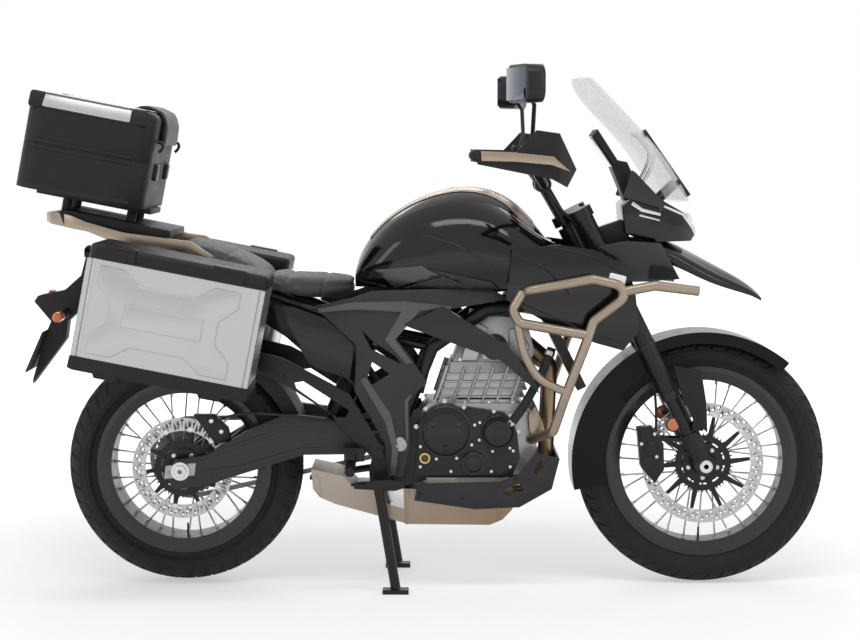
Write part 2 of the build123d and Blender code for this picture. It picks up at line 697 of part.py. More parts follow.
hugger_gap = 22.0
hugger_half = 82.0
hugger_radius = rear_tyre_radius + hugger_gap
hugger = turned(
    [
        (hugger_radius - 34, -hugger_half), (hugger_radius + sheet, -hugger_half),
        (hugger_radius + sheet, hugger_half), (hugger_radius - 34, hugger_half),
        (hugger_radius - 34, hugger_half - sheet), (hugger_radius, hugger_half - sheet),
        (hugger_radius, sheet - hugger_half), (hugger_radius - 34, sheet - hugger_half),
    ],
    rear_axle, angle=49.0, start=13.0,
)
nodes["rear_hugger"] = hugger - nodes["swingarm"]

side_cover = bowed(
    [(-296, 749), (-193, 772), (-144, 790), (-7, 794), (164, 794), (211, 769), (31, 738), (-74, 689), (-93, 681),
     (-44, 617), (-2, 552), (-49, 510), (-46, 387), (-65, 303), (-104, 303), (-106, 330), (-112, 394),
     (-190, 530), (-186, 606), (-186, 650)],
    (-50, 620), -152.0, 2600.0, 6.0,
)
cover_windows = slab([(-172, 690), (-142, 660), (-84, 622), (-66, 599), (-148, 640)], -170, -120) + slab(
    [(-144, 606), (-165, 534), (-98, 575)], -170, -120
)
cover_lugs = rod((-150, -146, 705), (-150, -96, 683), 14.0) + rod((-80, -144, 460), (-80, -115.8, 440), 16.0)
nodes["side_covers"] = pair((side_cover - cover_windows) + (cover_lugs - nodes["subframe"] - nodes["main_frame"]))

fairing_strip = bowed([(-60, 706), (-54, 699), (188, 612), (289, 524), (262, 590), (200, 655), (96, 716), (40, 752)],
                      (120, 660), -172.0, 1400.0, 11.0)
nodes["lower_strips"] = pair(fairing_strip) - nodes["side_covers"]

shroud = bowed(
    [(215, 900), (330, 912), (420, 900), (500, 862), (528, 800), (540, 690), (500, 640), (430, 660), (337, 694),
     (200, 771)],
    (380, 800), -211.0, 1000.0, 5.0,
)

# ---------------------------------------------------------------- nose, lamp and screen
# x, half_base, z_base, half_waist, z_waist, half_shoulder, z_shoulder, z_crown
beak_sections = [
    (566, 116, 866, 122, 886, 104, 908, 924),
    (660, 102, 842, 108, 858, 88, 882, 900),
    (755, 78, 800, 82, 812, 62, 832, 850),
    (830, 50, 776, 54, 784, 40, 796, 808),
    (880, 22, 754, 25, 758, 18, 762, 766),
]
beak = loft([arch(*row) for row in beak_sections])
lamp_outline = [(512, 938), (505, 1008), (560, 1060), (610, 1020), (668, 988), (700, 930), (690, 914), (560, 914)]
lamp_plan = Polyline(
    (490, -104, 880), (600, -100, 880), (664, -66, 880), (702, -30, 880), (702, 30, 880), (664, 66, 880),
    (600, 100, 880), (490, 104, 880), close=True,
)
headlamp = slab(lamp_outline, -120, 120) & extrude(make_face(lamp_plan), amount=220.0, dir=(0, 0, 1))
stay_outline = [(405, 880), (405, 925), (440, 945), (530, 976), (530, 898), (470, 868), (440, 862)]
neck_post = rod(on_axis(head_low - 30), on_axis(head_high + 30), 2 * head_radius)
nodes["fairing_stay"] = slab(stay_outline, -18, 18) - neck_post - headlamp
nodes["beak"] = beak - headlamp
dash_panel = slab([(428, 1188), (440, 1206), (496, 1120), (484, 1108)], -74, 74)
dash_stem = slab([(470, 1130), (520, 1120), (552, 1050), (520, 1008)], -50, 50)
nodes["dash"] = dash_panel + dash_stem - headlamp

# Side panels of the nose: plates bent in plan and cut to their side outline.
nose_side = [(436, 905), (509, 919), (601, 912), (653, 818), (565, 813), (510, 813), (482, 877)]
nose_plan = [(425, -156), (520, -147), (580, -131), (655, -114), (655, -109.5), (580, -126.5), (520, -142.5), (425, -151.5)]
nose_band = extrude(make_face(Polyline(*[(x, y, 800) for x, y in nose_plan], close=True)), amount=130.0, dir=(0, 0, 1))
nose_panel = nose_band & slab(nose_side, -170, -100)
nose_lug = rod((600, -124, 876), (600, -96, 876), 12.0) - beak
brow = slab([(505, 1030), (526, 1100), (536, 1094), (614, 1012), (606, 1000)], -109, -104.3)
brow_lug = rod((545, -106, 1038), (545, -90, 1038), 14.0) - headlamp
nodes["nose_panels"] = pair(nose_panel + nose_lug + brow + brow_lug)

screen_thickness = 4.0
# z, centre_x, edge_x, half_width
screen_rows = [(1018, 690, 622, 112), (1110, 636, 566, 146), (1200, 566, 496, 160), (1285, 486, 416, 146),
               (1340, 432, 388, 96)]


def screen_section(z, centre_x, edge_x, half_width):
    """Level cut through the windscreen: a thin bow."""
    t = screen_thickness
    outer = ThreePointArc((edge_x, -half_width, z), (centre_x, 0, z), (edge_x, half_width, z))
    inner = ThreePointArc((edge_x - t, half_width, z), (centre_x - t, 0, z), (edge_x - t, -half_width, z))
    ends = Line((edge_x, half_width, z), (edge_x - t, half_width, z)) + Line(
        (edge_x - t, -half_width, z), (edge_x, -half_width, z)
    )
    return make_face(outer + ends + inner)


nodes["windscreen"] = loft([screen_section(*row) for row in screen_rows])
for side in (-1, 1):
    strut = rod((594, side * 60, 1010), (660, side * 60, 1074), 16.0) - nodes["windscreen"]
    headlamp = headlamp + strut.solids().sort_by(Axis.X)[0]
nodes["headlamp"] = headlamp

# ---------------------------------------------------------------- luggage cases
case_tilt = 11.0
case_wall = 2.5
lid_wall = 3.0


def tray(length, width, height, wall, corner=26.0):
    """Open box from its lower rear corner, with an even wall and rounded upright corners."""
    outer = Box(length, width, height, align=(Align.MIN, Align.CENTER, Align.MIN))
    outer = fillet(outer.edges().filter_by(Axis.Z), corner)
    inner = Box(length - 2 * wall, width - 2 * wall, height, align=(Align.MIN, Align.CENTER, Align.MIN))
    inner = fillet(inner.edges().filter_by(Axis.Z), corner - wall)
    return outer - Pos(wall, 0, wall) * inner


def cap(length, width, height, corner, crown):
    """Solid box with rounded upright corners and a rounded top edge."""
    body = Box(length, width, height, align=(Align.MIN, Align.CENTER, Align.MIN))
    body = fillet(body.edges().filter_by(Axis.Z), corner)
    return fillet(body.faces().sort_by(Axis.Z)[-1].edges(), crown)


def lid(length, width, height, wall, corner=26.0, crown=12.0):
    """Cap that closes a tray, open below."""
    inner = cap(length - 2 * wall, width - 2 * wall, height - wall, corner - wall, crown - wall)
    return cap(length, width, height, corner, crown) - Pos(wall, 0, 0) * inner


pannier_length = 436.0
pannier_depth = 228.0
pannier_height = 272.0
pannier_lid_height = 36.0
pannier_inner_y = 232.0
pannier_corner = (-870.0, 629.0)     # lower rear corner of the case
pannier_y = -pannier_inner_y - pannier_depth / 2
pannier_place = Location((pannier_corner[0], pannier_y, pannier_corner[1]), (0, case_tilt, 0))
nodes["panniers"] = pair(pannier_place * tray(pannier_length, pannier_depth, pannier_height, case_wall))
pannier_lid = Pos(0, 0, pannier_height + seat_clearance) * lid(
    pannier_length, pannier_depth, pannier_lid_height, lid_wall
)
hinge_blocks = [
    Pos(x, -pannier_depth / 2 - 3, pannier_height + 16) * Box(70, 14, 28) for x in (60.0, 330.0)
]
nodes["pannier_lid_right"] = pannier_place * (pannier_lid + hinge_blocks[0] + hinge_blocks[1])
nodes["pannier_lid_left"] = other_side(nodes["pannier_lid_right"])

top_length = 332.0
top_width = 404.0
top_base_height = 118.0
top_lid_height = 128.0
top_corner = (rear_tip + 1.5, 1063.0)
top_place = Location((top_corner[0], 0, top_corner[1]), (0, case_tilt, 0))
top_corner_radius = 48.0
top_crown = 24.0
nodes["top_case"] = top_place * tray(top_length, top_width, top_base_height, lid_wall, top_corner_radius)
top_lid = Pos(0, 0, top_base_height + seat_clearance) * lid(
    top_length, top_width, top_lid_height, lid_wall, top_corner_radius, top_crown
)
nodes["top_case_lid"] = top_place * top_lid
pad_top = top_base_height + top_lid_height + 2 * seat_clearance
pad_face = top_length + seat_clearance
pad_outline = [(pad_face - 84, pad_top), (pad_face - 64, pad_top + 16), (pad_face - 38, pad_top + 20),
               (pad_face + 2, pad_top + 10), (pad_face + 20, pad_top - 24), (pad_face + 22, pad_top - 84),
               (pad_face - 12, pad_top - 84), (pad_face - 84, pad_top - 24)]
lid_form = cap(top_length, top_width, top_lid_height, top_corner_radius, top_crown)
lid_form = Pos(0, 0, top_base_height + seat_clearance) * lid_form
nodes["backrest_pad"] = top_place * (slab(pad_outline, -118, 118) - lid_form)

# ---------------------------------------------------------------- rack, tail and carriers
rack = Pos(40, 0, -14.3) * Box(300, 180, 14, align=(Align.MIN, Align.CENTER, Align.MIN))
rack_front = [(-748, 932), (-690, 924), (-664, 928), (-664, 944)]
rack_lower = slab(
    from_tip([(106.5, 990), (118.5, 958)]) + rack_front + from_tip([(114.5, 1000)]), -138, 138
)
posts = [
    Pos(x, y, -48) * Cylinder(13, 40, align=(Align.CENTER, Align.CENTER, Align.MIN))
    for x in (120.0, 290.0) for y in (-66.0, 66.0)
]
rack_stack = rack + posts[0] + posts[1] + posts[2] + posts[3]

# Grab rail: a cast bar bent in plan and cut to its side outline, with a foot on each side.
rail_side = from_tip([(54.5, 966), (58.5, 990), (85.5, 992), (138.5, 984), (176.5, 968), (239.5, 950)]) + [
    (-777, 940), (-608, 918), (-550, 880), (-560, 866), (-606, 886), (-624, 896), (-777, 914),
] + from_tip([(238.5, 920), (181.5, 943), (113.5, 956)])
rail_plan = [(-550, -170), (-740, -166)] + from_tip(
    [(138.5, -150), (82.5, -116), (58.5, -60), (58.5, 0), (72.5, 0), (72.5, -56), (92.5, -104), (144.5, -136)]
) + [(-740, -152), (-550, -156)]
rail_band = extrude(make_face(Polyline(*[(x, y, 840) for x, y in rail_plan], close=True)), amount=170.0, dir=(0, 0, 1))
half_rail = rail_band & slab(rail_side, -170, 0)
rail_foot = bent_tube([(-562, -162, 878), (-528, -151, 812), (-505, -104, 800)], 18.0, 12.0)
half_rail = half_rail + (rail_foot - nodes["subframe"] - nodes["tail_cover"])
nodes["grab_rail"] = half_rail + other_side(half_rail)
nodes["rack_plate"] = top_place * rack_stack + rack_lower - nodes["grab_rail"]

carrier_tube = 16.0
carrier_y = -pannier_inner_y + carrier_tube / 2 + seat_clearance
carrier = bent_tube([(-560, -100, 812), (-556, carrier_y, 800), (-520, carrier_y, 640), (-800, carrier_y, 694),
                     (-790, carrier_y, 846), (-700, -92, 848)], carrier_tube, 24.0)
nodes["case_carriers"] = pair(carrier - nodes["subframe"] - nodes["tail_cover"])

hanger = slab(
    from_tip([(94.5, 652), (101.5, 704), (58.5, 704), (42.5, 668), (6.5, 548), (4.5, 533)]), -24, 24
)
plate = slab(from_tip([(51.5, 676), (4, 572), (0, 574), (46.5, 678)]), -92, 92)
lamp_arm = slab(
    from_tip([(14.5, 753), (24.5, 768), (94.5, 782), (139.5, 822), (158.5, 890), (214.5, 880), (208.5, 800),
              (101.5, 700), (58.5, 700)]),
    -32, 32,
)
signal_x = rear_tip + 99.5
signals = [rod((signal_x, side * 30, 724), (signal_x, side * 158, 722), 25.0) for side in (-1, 1)]
tail = hanger + lamp_arm + plate + signals[0] + signals[1]
nodes["plate_holder"] = tail - nodes["tail_cover"]

# ---------------------------------------------------------------- crash bars
bar_tube = 25.4
upper_bar = [(232, -126, 760), (252, -226, 796), (416, -262, 828), (525, -258, 803), (418, -250, 721),
             (400, -248, 664), (348, -226, 520), (322, -190, 430), (270, -100, 396)]
front_bar = [(491, -257, 796), (571, -258, 812), (684, -240, 797)]
cross_bar = [(240, -215, 790), (214, -234, 748), (232, -244, 716), (400, -248, 686)]
crash_bar = bent_tube(upper_bar, bar_tube, 26.0)
crash_bar = crash_bar + bent_tube(front_bar, bar_tube, 24.0) + bent_tube(cross_bar, bar_tube, 20.0)
nodes["crash_bars"] = pair(crash_bar - nodes["main_frame"] - nodes["engine_block"])
bar_hole = bent_tube(upper_bar[:3], bar_tube + 4 * seat_clearance, 26.0)
nodes["shrouds"] = pair(shroud - bar_hole)

# ---------------------------------------------------------------- rests, pedals and brackets
arm_plane = 140.0
pillion_arm = slab([(-470, 640), (-470, 592), (-366, 545), (-248, 468), (-228, 436), (-150, 362), (-122, 346),
                    (-115, 362), (-126, 394), (-204, 524), (-376, 616)], -arm_plane - 12, -arm_plane)
arm_hole = slab([(-346, 552), (-322, 556), (-204, 480), (-212, 462), (-236, 462), (-340, 536)], -160, -130)
arm_boss = disc((-128, 380), 13.0, (-arm_plane, -spar_y - plate_half - seat_clearance))
pillion_arm = (pillion_arm - arm_hole) + arm_boss
peg_block = block((-216, -164), (-arm_plane - 46, -arm_plane - 12), (352, 386))
peg = rod((-196, -arm_plane - 44, 366), (-198, -262, 336), 26.0)
nodes["footrests"] = pair((pillion_arm + peg_block + peg) - nodes["swingarm"])
control_plane = 206.0          # outer face of both foot levers
lever_width = 10.0
control_shaft = 14.0
brake_pivot = (-92.0, 289.0)
gear_pivot = (-120.0, 316.0)


def foot_lever(outline, pivot):
    """Flat lever on the right-hand side, on a cross shaft out of the pivot plate."""
    lever = slab(outline, -control_plane, lever_width - control_plane)
    plate_face = -spar_y - plate_half - seat_clearance
    shaft = rod((pivot[0], lever_width - control_plane, pivot[1]), (pivot[0], plate_face, pivot[1]), control_shaft)
    return lever + shaft


brake_lever = foot_lever(
    [(-190, 300), (-100, 308), (-61, 302), (-61, 286), (-84, 279), (-104, 279), (-190, 284)], brake_pivot
)
gear_lever = foot_lever(
    [(-130, 308), (-130, 324), (-112, 328), (-30, 338), (40, 332), (40, 318), (-30, 322), (-112, 306)], gear_pivot
)
nodes["foot_controls"] = brake_lever + other_side(gear_lever)

# ---------------------------------------------------------------- stands
stand_leg_y = 158.0
stand_tube = 26.0
foot_x = -84.0
sp_x, sp_z = stand_pivot
leg_down = rod((sp_x, -stand_leg_y, sp_z), (foot_x, -stand_leg_y, 14), stand_tube)
foot = block((foot_x - 34, foot_x + 34), (-stand_leg_y - 17, -stand_leg_y + 17), (0, 12))
stand_shaft = disc(stand_pivot, stand_pin, (-stand_leg_y, stand_leg_y))
nodes["centre_stand"] = (leg_down + foot) + other_side(leg_down + foot) + stand_shaft
ssx, side_stand_y, ssz = side_stand_pivot
side_leg = rod((ssx - 8, side_stand_y + 2, ssz - 2), (ssx - 240, side_stand_y + 6, ssz - 36), 20.0)
side_foot = block((ssx - 268, ssx - 224), (side_stand_y - 8, side_stand_y + 28), (ssz - 48, ssz - 38))
side_eye = side_hinge_rod(-side_eye_half, side_eye_half, 32.0)
side_pin = side_hinge_rod(0.0, 70.0, 2 * side_stand_pin)
nodes["side_stand"] = side_leg + side_foot + side_eye + side_pin

# ---------------------------------------------------------------- files
for name, piece in nodes.items():
    export_step(Pos(centre_shift, 0, 0) * piece, f"parts/{name}.step")
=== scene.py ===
"""Looks for the adventure motorcycle: finishes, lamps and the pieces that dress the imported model.

Outlines and sizes are in millimetres in the model's own frame (+X forward, +Y the rider's left, +Z up) and
are scaled to metres when a mesh is made. Pieces are shaped on the rider's right, at negative Y, and mirrored.
"""

import json
import logging
import math
from dataclasses import dataclass, field
from enum import Enum

import bmesh
import bpy
from mathutils import Matrix, Vector
from mathutils.bvhtree import BVHTree


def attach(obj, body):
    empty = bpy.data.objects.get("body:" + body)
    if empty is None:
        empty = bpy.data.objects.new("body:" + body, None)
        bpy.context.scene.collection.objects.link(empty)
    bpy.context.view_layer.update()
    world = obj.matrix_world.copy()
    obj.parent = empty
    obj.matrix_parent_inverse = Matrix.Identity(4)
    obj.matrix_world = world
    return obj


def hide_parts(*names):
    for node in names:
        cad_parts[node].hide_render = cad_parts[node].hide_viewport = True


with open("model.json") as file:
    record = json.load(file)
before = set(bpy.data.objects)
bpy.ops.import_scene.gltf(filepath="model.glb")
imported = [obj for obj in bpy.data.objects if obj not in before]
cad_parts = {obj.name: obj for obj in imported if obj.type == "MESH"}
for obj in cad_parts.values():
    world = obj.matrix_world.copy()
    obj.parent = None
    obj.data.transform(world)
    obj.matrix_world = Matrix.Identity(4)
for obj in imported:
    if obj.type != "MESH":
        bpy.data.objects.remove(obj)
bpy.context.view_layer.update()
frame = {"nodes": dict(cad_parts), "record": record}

log = logging.getLogger("motorcycle")
MM = 0.001              # metres in a millimetre
MERGE = 1e-6            # metres between points that are one
NODE_MERGE = 2e-6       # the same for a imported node's loose triangles
ACROSS = (0, -1, 0)     # outwards on the rider's right

Point = tuple[float, float, float]
Outline = list[tuple[float, float]]
Centre = tuple[float, float]


# ---------------------------------------------------------------- finishes
class Slot(str, Enum):
    """Material slots of the record."""

    TYRE = "tyre"
    RIM = "rim_black"
    DISC = "disc_steel"
    CHAIN = "chain_steel"
    BLACK_METAL = "black_metal"
    BRONZE = "bronze_paint"
    MATT = "matt_black"
    GLOSS = "gloss_black"
    ENGINE = "engine_grey"
    ENGINE_BLACK = "engine_black"
    EXHAUST = "exhaust_steel"
    BASH = "bash_metal"
    SEAT = "seat_cover"
    CASE = "case_aluminium"
    SCREEN = "screen"
    LAMP = "lamp_glass"


class Nodes:
    """Short-hand for building one material's node tree."""

    def __init__(self, name: str) -> None:
        """Start a material with a Principled shader.

        Args:
            name: name of the material.
        """
        self.material = bpy.data.materials.new(name)
        self.material.use_nodes = True
        self.tree = self.material.node_tree
        self.shader = self.tree.nodes["Principled BSDF"]
        self.place = self.tree.nodes.new("ShaderNodeTexCoord").outputs["Object"]

    def add(self, kind: str, **sockets: object) -> bpy.types.Node:
        """Add a node and fill its inputs.

        Args:
            kind: node type without the ShaderNode prefix.
            **sockets: input names (underscores for blanks) with a value or an output to link.

        Returns:
            The new node.
        """
        node = self.tree.nodes.new("ShaderNode" + kind)
        for key, value in sockets.items():
            self.set(node, key.replace("_", " "), value)
        return node

    def set(self, node: bpy.types.Node, name: str, value: object) -> None:
        """Give an input a plain value, or link an output to it."""
        if isinstance(value, bpy.types.NodeSocket):
            self.tree.links.new(value, node.inputs[name])
        else:
            node.inputs[name].default_value = value

    def stretched(self, scale: Point, turn: Point = (0, 0, 0), centre: Point = (0, 0, 0)) -> bpy.types.NodeSocket:
        """Object coordinates scaled along each axis.

        Args:
            scale: factor along X, Y and Z.
            turn: rotation of the pattern in radians.
            centre: point that goes to the pattern's origin, before turning.

        Returns:
            The mapped vector.
        """
        moved = self.add("Mapping", Vector=self.place, Location=tuple(-c for c in centre))
        mapping = self.add("Mapping", Vector=moved.outputs[0], Rotation=turn, Scale=scale)
        return mapping.outputs[0]

    def noise(self, scale: float, detail: float = 4.0,
              where: bpy.types.NodeSocket | None = None) -> bpy.types.NodeSocket:
        """Noise value from 0 to 1.

        Args:
            scale: cells of the pattern to a metre.
            detail: finer layers over the first.
            where: coordinates that it reads, the object's own where left out.

        Returns:
            The value.
        """
        node = self.add("TexNoise", Vector=where or self.place, Scale=scale, Detail=detail)
        return node.outputs["Fac"]

    def spread(self, value: bpy.types.NodeSocket, low: float, high: float, start: float = 0.3,
               end: float = 0.7) -> bpy.types.NodeSocket:
        """Map a value to a range, clamped.

        Args:
            value: what is mapped.
            low: result at the start.
            high: result at the end.
            start: value that gives the low result.
            end: value that gives the high result.

        Returns:
            The mapped value.
        """
        node = self.add("MapRange", Value=value)
        for key, number in (("From Min", start), ("From Max", end), ("To Min", low), ("To Max", high)):
            node.inputs[key].default_value = number
        return node.outputs[0]

    def mix(self, share: bpy.types.NodeSocket, first: object, second: object) -> bpy.types.NodeSocket:
        """Blend two colours.

        Args:
            share: how much of the second colour shows.
            first: colour or output at 0.
            second: colour or output at 1.

        Returns:
            The blended colour.
        """
        node = self.tree.nodes.new("ShaderNodeMix")
        node.data_type = "RGBA"
        self.set(node, "Factor", share)
        for socket, value in ((node.inputs[6], first), (node.inputs[7], second)):
            if isinstance(value, bpy.types.NodeSocket):
                self.tree.links.new(value, socket)
            else:
                socket.default_value = (*value[:3], 1.0)
        return node.outputs[2]

    def math(self, operation: str, first: object, second: object = 0.0) -> bpy.types.NodeSocket:
        """One arithmetic step.

        Args:
            operation: name of the step.
            first: first number or output.
            second: second number or output.

        Returns:
            The result.
        """
        node = self.tree.nodes.new("ShaderNodeMath")
        node.operation = operation
        for socket, value in zip(node.inputs, (first, second)):
            if isinstance(value, bpy.types.NodeSocket):
                self.tree.links.new(value, socket)
            else:
                socket.default_value = value
        return node.outputs[0]

    def length(self, vector: bpy.types.NodeSocket) -> bpy.types.NodeSocket:
        """Length of a vector."""
        node = self.tree.nodes.new("ShaderNodeVectorMath")
        node.operation = "LENGTH"
        self.tree.links.new(vector, node.inputs[0])
        return node.outputs["Value"]

    def constants(self, **sockets: object) -> None:
        """Set plain values on the shader's own inputs (underscores for blanks)."""
        for key, value in sockets.items():
            self.shader.inputs[key.replace("_", " ")].default_value = value

    def bump(self, height: bpy.types.NodeSocket, strength: float, distance: float) -> None:
        """Raise the surface by a height pattern.

        Args:
            height: pattern from 0 to 1.
            strength: how much of it shows.
            distance: height in metres of a full step.
        """
        node = self.add("Bump", Height=height, Strength=strength, Distance=distance)
        self.set(self.shader, "Normal", node.outputs[0])


@dataclass(frozen=True)
class Finish:
    """A finish with grain, mottling and a spread of gloss."""

    name: str
    slot: Slot
    color: Point
    roughness: float
    metallic: float = 0.0
    coat: float = 0.0
    mottle: float = 0.12
    gloss_spread: float = 0.06
    grain: float = 900.0
    grain_depth: float = 0.00006
    grain_strength: float = 0.25
    specular: float = 0.5

    def make(self) -> bpy.types.Material:
        """Build the material."""
        n = Nodes(self.name)
        cloud = n.noise(9.0)
        lighter = tuple(min(1.0, c * (1 + self.mottle) + 0.002 * self.mottle) for c in self.color)
        darker = tuple(c * (1 - self.mottle) for c in self.color)
        n.set(n.shader, "Base Color", n.mix(cloud, darker, lighter))
        smear = n.noise(28.0, 6.0)
        n.set(n.shader, "Roughness", n.spread(smear, max(0.02, self.roughness - self.gloss_spread),
                                              min(1.0, self.roughness + self.gloss_spread)))
        n.constants(Metallic=self.metallic, Specular_IOR_Level=self.specular, Coat_Weight=self.coat,
                    Coat_Roughness=0.03)
        if self.grain_strength:
            n.bump(n.noise(self.grain, 2.0), self.grain_strength, self.grain_depth)
        return n.material


@dataclass(frozen=True)
class Brushed:
    """Metal brushed along one axis."""

    name: str
    slot: Slot
    color: Point
    roughness: float = 0.34
    along: Point = (6.0, 900.0, 900.0)
    tilt: float = 0.0
    depth: float = 0.00004

    def make(self) -> bpy.types.Material:
        """Build the material."""
        n = Nodes(self.name)
        streak = n.noise(1.0, 5.0, n.stretched(self.along, (0, self.tilt, 0)))
        darker = tuple(c * 0.86 for c in self.color)
        n.set(n.shader, "Base Color", n.mix(streak, darker, self.color))
        n.set(n.shader, "Roughness", n.spread(streak, self.roughness - 0.08, self.roughness + 0.1))
        n.constants(Metallic=0.92)
        n.bump(streak, 0.35, self.depth)
        return n.material


@dataclass(frozen=True)
class Hide:
    """Grained seat cover."""

    name: str
    color: Point
    grain: float = 620.0
    slot: Slot = Slot.SEAT
    roughness: float = 0.52

    def make(self) -> bpy.types.Material:
        """Build the material."""
        n = Nodes(self.name)
        cells = n.add("TexVoronoi", Vector=n.place, Scale=self.grain)
        cells.feature = "F1"
        cloud = n.noise(14.0, 5.0)
        darker, lighter = tuple(c * 0.8 for c in self.color), tuple(c * 1.25 for c in self.color)
        n.set(n.shader, "Base Color", n.mix(cloud, darker, lighter))
        n.set(n.shader, "Roughness", n.spread(n.noise(60.0), self.roughness - 0.07, self.roughness + 0.1))
        n.constants(Sheen_Weight=0.12, Sheen_Roughness=0.5)
        n.bump(cells.outputs["Distance"], 0.4, 0.00022)
        return n.material


@dataclass(frozen=True)
class Rubber:
    """Tyre rubber with a dusty tread."""

    name: str = "tyre rubber"
    slot: Slot = Slot.TYRE

    def make(self) -> bpy.types.Material:
        """Build the material."""
        n = Nodes(self.name)
        dust = n.noise(22.0, 8.0)
        n.set(n.shader, "Base Color", n.mix(dust, (0.012, 0.012, 0.013), (0.034, 0.033, 0.033)))
        n.set(n.shader, "Roughness", n.spread(dust, 0.62, 0.86))
        n.constants(Specular_IOR_Level=0.25)
        n.bump(n.noise(1400.0, 3.0), 0.35, 0.00016)
        return n.material


@dataclass(frozen=True)
class RadialMetal:
    """Wheel finish: dark outside a radius and inside another, bright between, about a crosswise axle."""

    name: str
    centre: Point
    inner: float
    outer: float
    dark: Point = (0.012, 0.012, 0.013)
    bright: Point = (0.46, 0.46, 0.47)
    slot: Slot = Slot.RIM

    def make(self) -> bpy.types.Material:
        """Build the material."""
        n = Nodes(self.name)
        from_axle = n.stretched((1, 0, 1), centre=tuple(c * MM for c in self.centre))
        distance = n.length(from_axle)
        outside_hub = n.math("GREATER_THAN", distance, self.inner * MM)
        inside_rim = n.math("LESS_THAN", distance, self.outer * MM)
        spokes = n.math("MULTIPLY", outside_hub, inside_rim)
        smear = n.noise(30.0, 5.0)
        n.set(n.shader, "Base Color", n.mix(spokes, self.dark, self.bright))
        n.set(n.shader, "Metallic", n.math("MULTIPLY", spokes, 0.7))
        n.set(n.shader, "Roughness", n.spread(smear, 0.24, 0.36))
        n.bump(n.noise(700.0, 2.0), 0.15, 0.00004)
        return n.material


@dataclass(frozen=True)
class HeatTint:
    """Stainless steel that browns towards its hot end."""

    name: str = "heat-tinted steel"
    slot: Slot = Slot.EXHAUST

    def make(self) -> bpy.types.Material:
        """Build the material."""
        n = Nodes(self.name)
        split = n.add("SeparateXYZ", Vector=n.place)
        along = n.spread(split.outputs["X"], 0.0, 1.0, -0.30, 0.22)
        cloud = n.noise(7.0, 6.0)
        warm = n.mix(cloud, (0.20, 0.13, 0.08), (0.34, 0.25, 0.17))
        cool = n.mix(cloud, (0.28, 0.24, 0.20), (0.42, 0.38, 0.33))
        n.set(n.shader, "Base Color", n.mix(along, cool, warm))
        streak = n.noise(1.0, 4.0, n.stretched((12.0, 500.0, 500.0)))
        n.set(n.shader, "Roughness", n.spread(streak, 0.26, 0.44))
        n.constants(Metallic=0.9)
        n.bump(streak, 0.2, 0.00003)
        return n.material


@dataclass(frozen=True)
class Clear:
    """Clear moulded plastic or glass."""

    name: str
    slot: Slot
    tint: Point = (0.93, 0.95, 0.96)
    roughness: float = 0.02
    alpha: float = 0.18

    def make(self) -> bpy.types.Material:
        """Build the material."""
        n = Nodes(self.name)
        n.set(n.shader, "Base Color", n.mix(n.noise(3.0), tuple(c * 0.97 for c in self.tint), self.tint))
        n.set(n.shader, "Roughness", n.spread(n.noise(40.0), self.roughness, self.roughness + 0.03))
        edge = n.add("LayerWeight", Blend=0.35).outputs["Facing"]
        n.set(n.shader, "Alpha", n.spread(edge, self.alpha, min(1.0, self.alpha + 0.5), 0.2, 1.0))
        n.constants(Coat_Weight=0.6)
        return n.material


@dataclass(frozen=True)
class Glow:
    """Coloured lens with prisms and a faint emission: a lamp's own glow, and a painted glow on the fork reflectors,
    which give no light.
    """

    name: str
    slot: Slot
    color: Point
    strength: float = 0.0

    def make(self) -> bpy.types.Material:
        """Build the material."""
        n = Nodes(self.name)
        prisms = n.add("TexWave", Vector=n.stretched((1, 1, 1)), Scale=90.0, Distortion=0.0)
        n.set(n.shader, "Base Color", n.mix(prisms.outputs["Fac"], tuple(c * 0.75 for c in self.color), self.color))
        n.constants(Roughness=0.12, Coat_Weight=0.8, Emission_Color=(*self.color, 1.0), Emission_Strength=self.strength)
        n.bump(prisms.outputs["Fac"], 0.3, 0.0004)
        return n.material


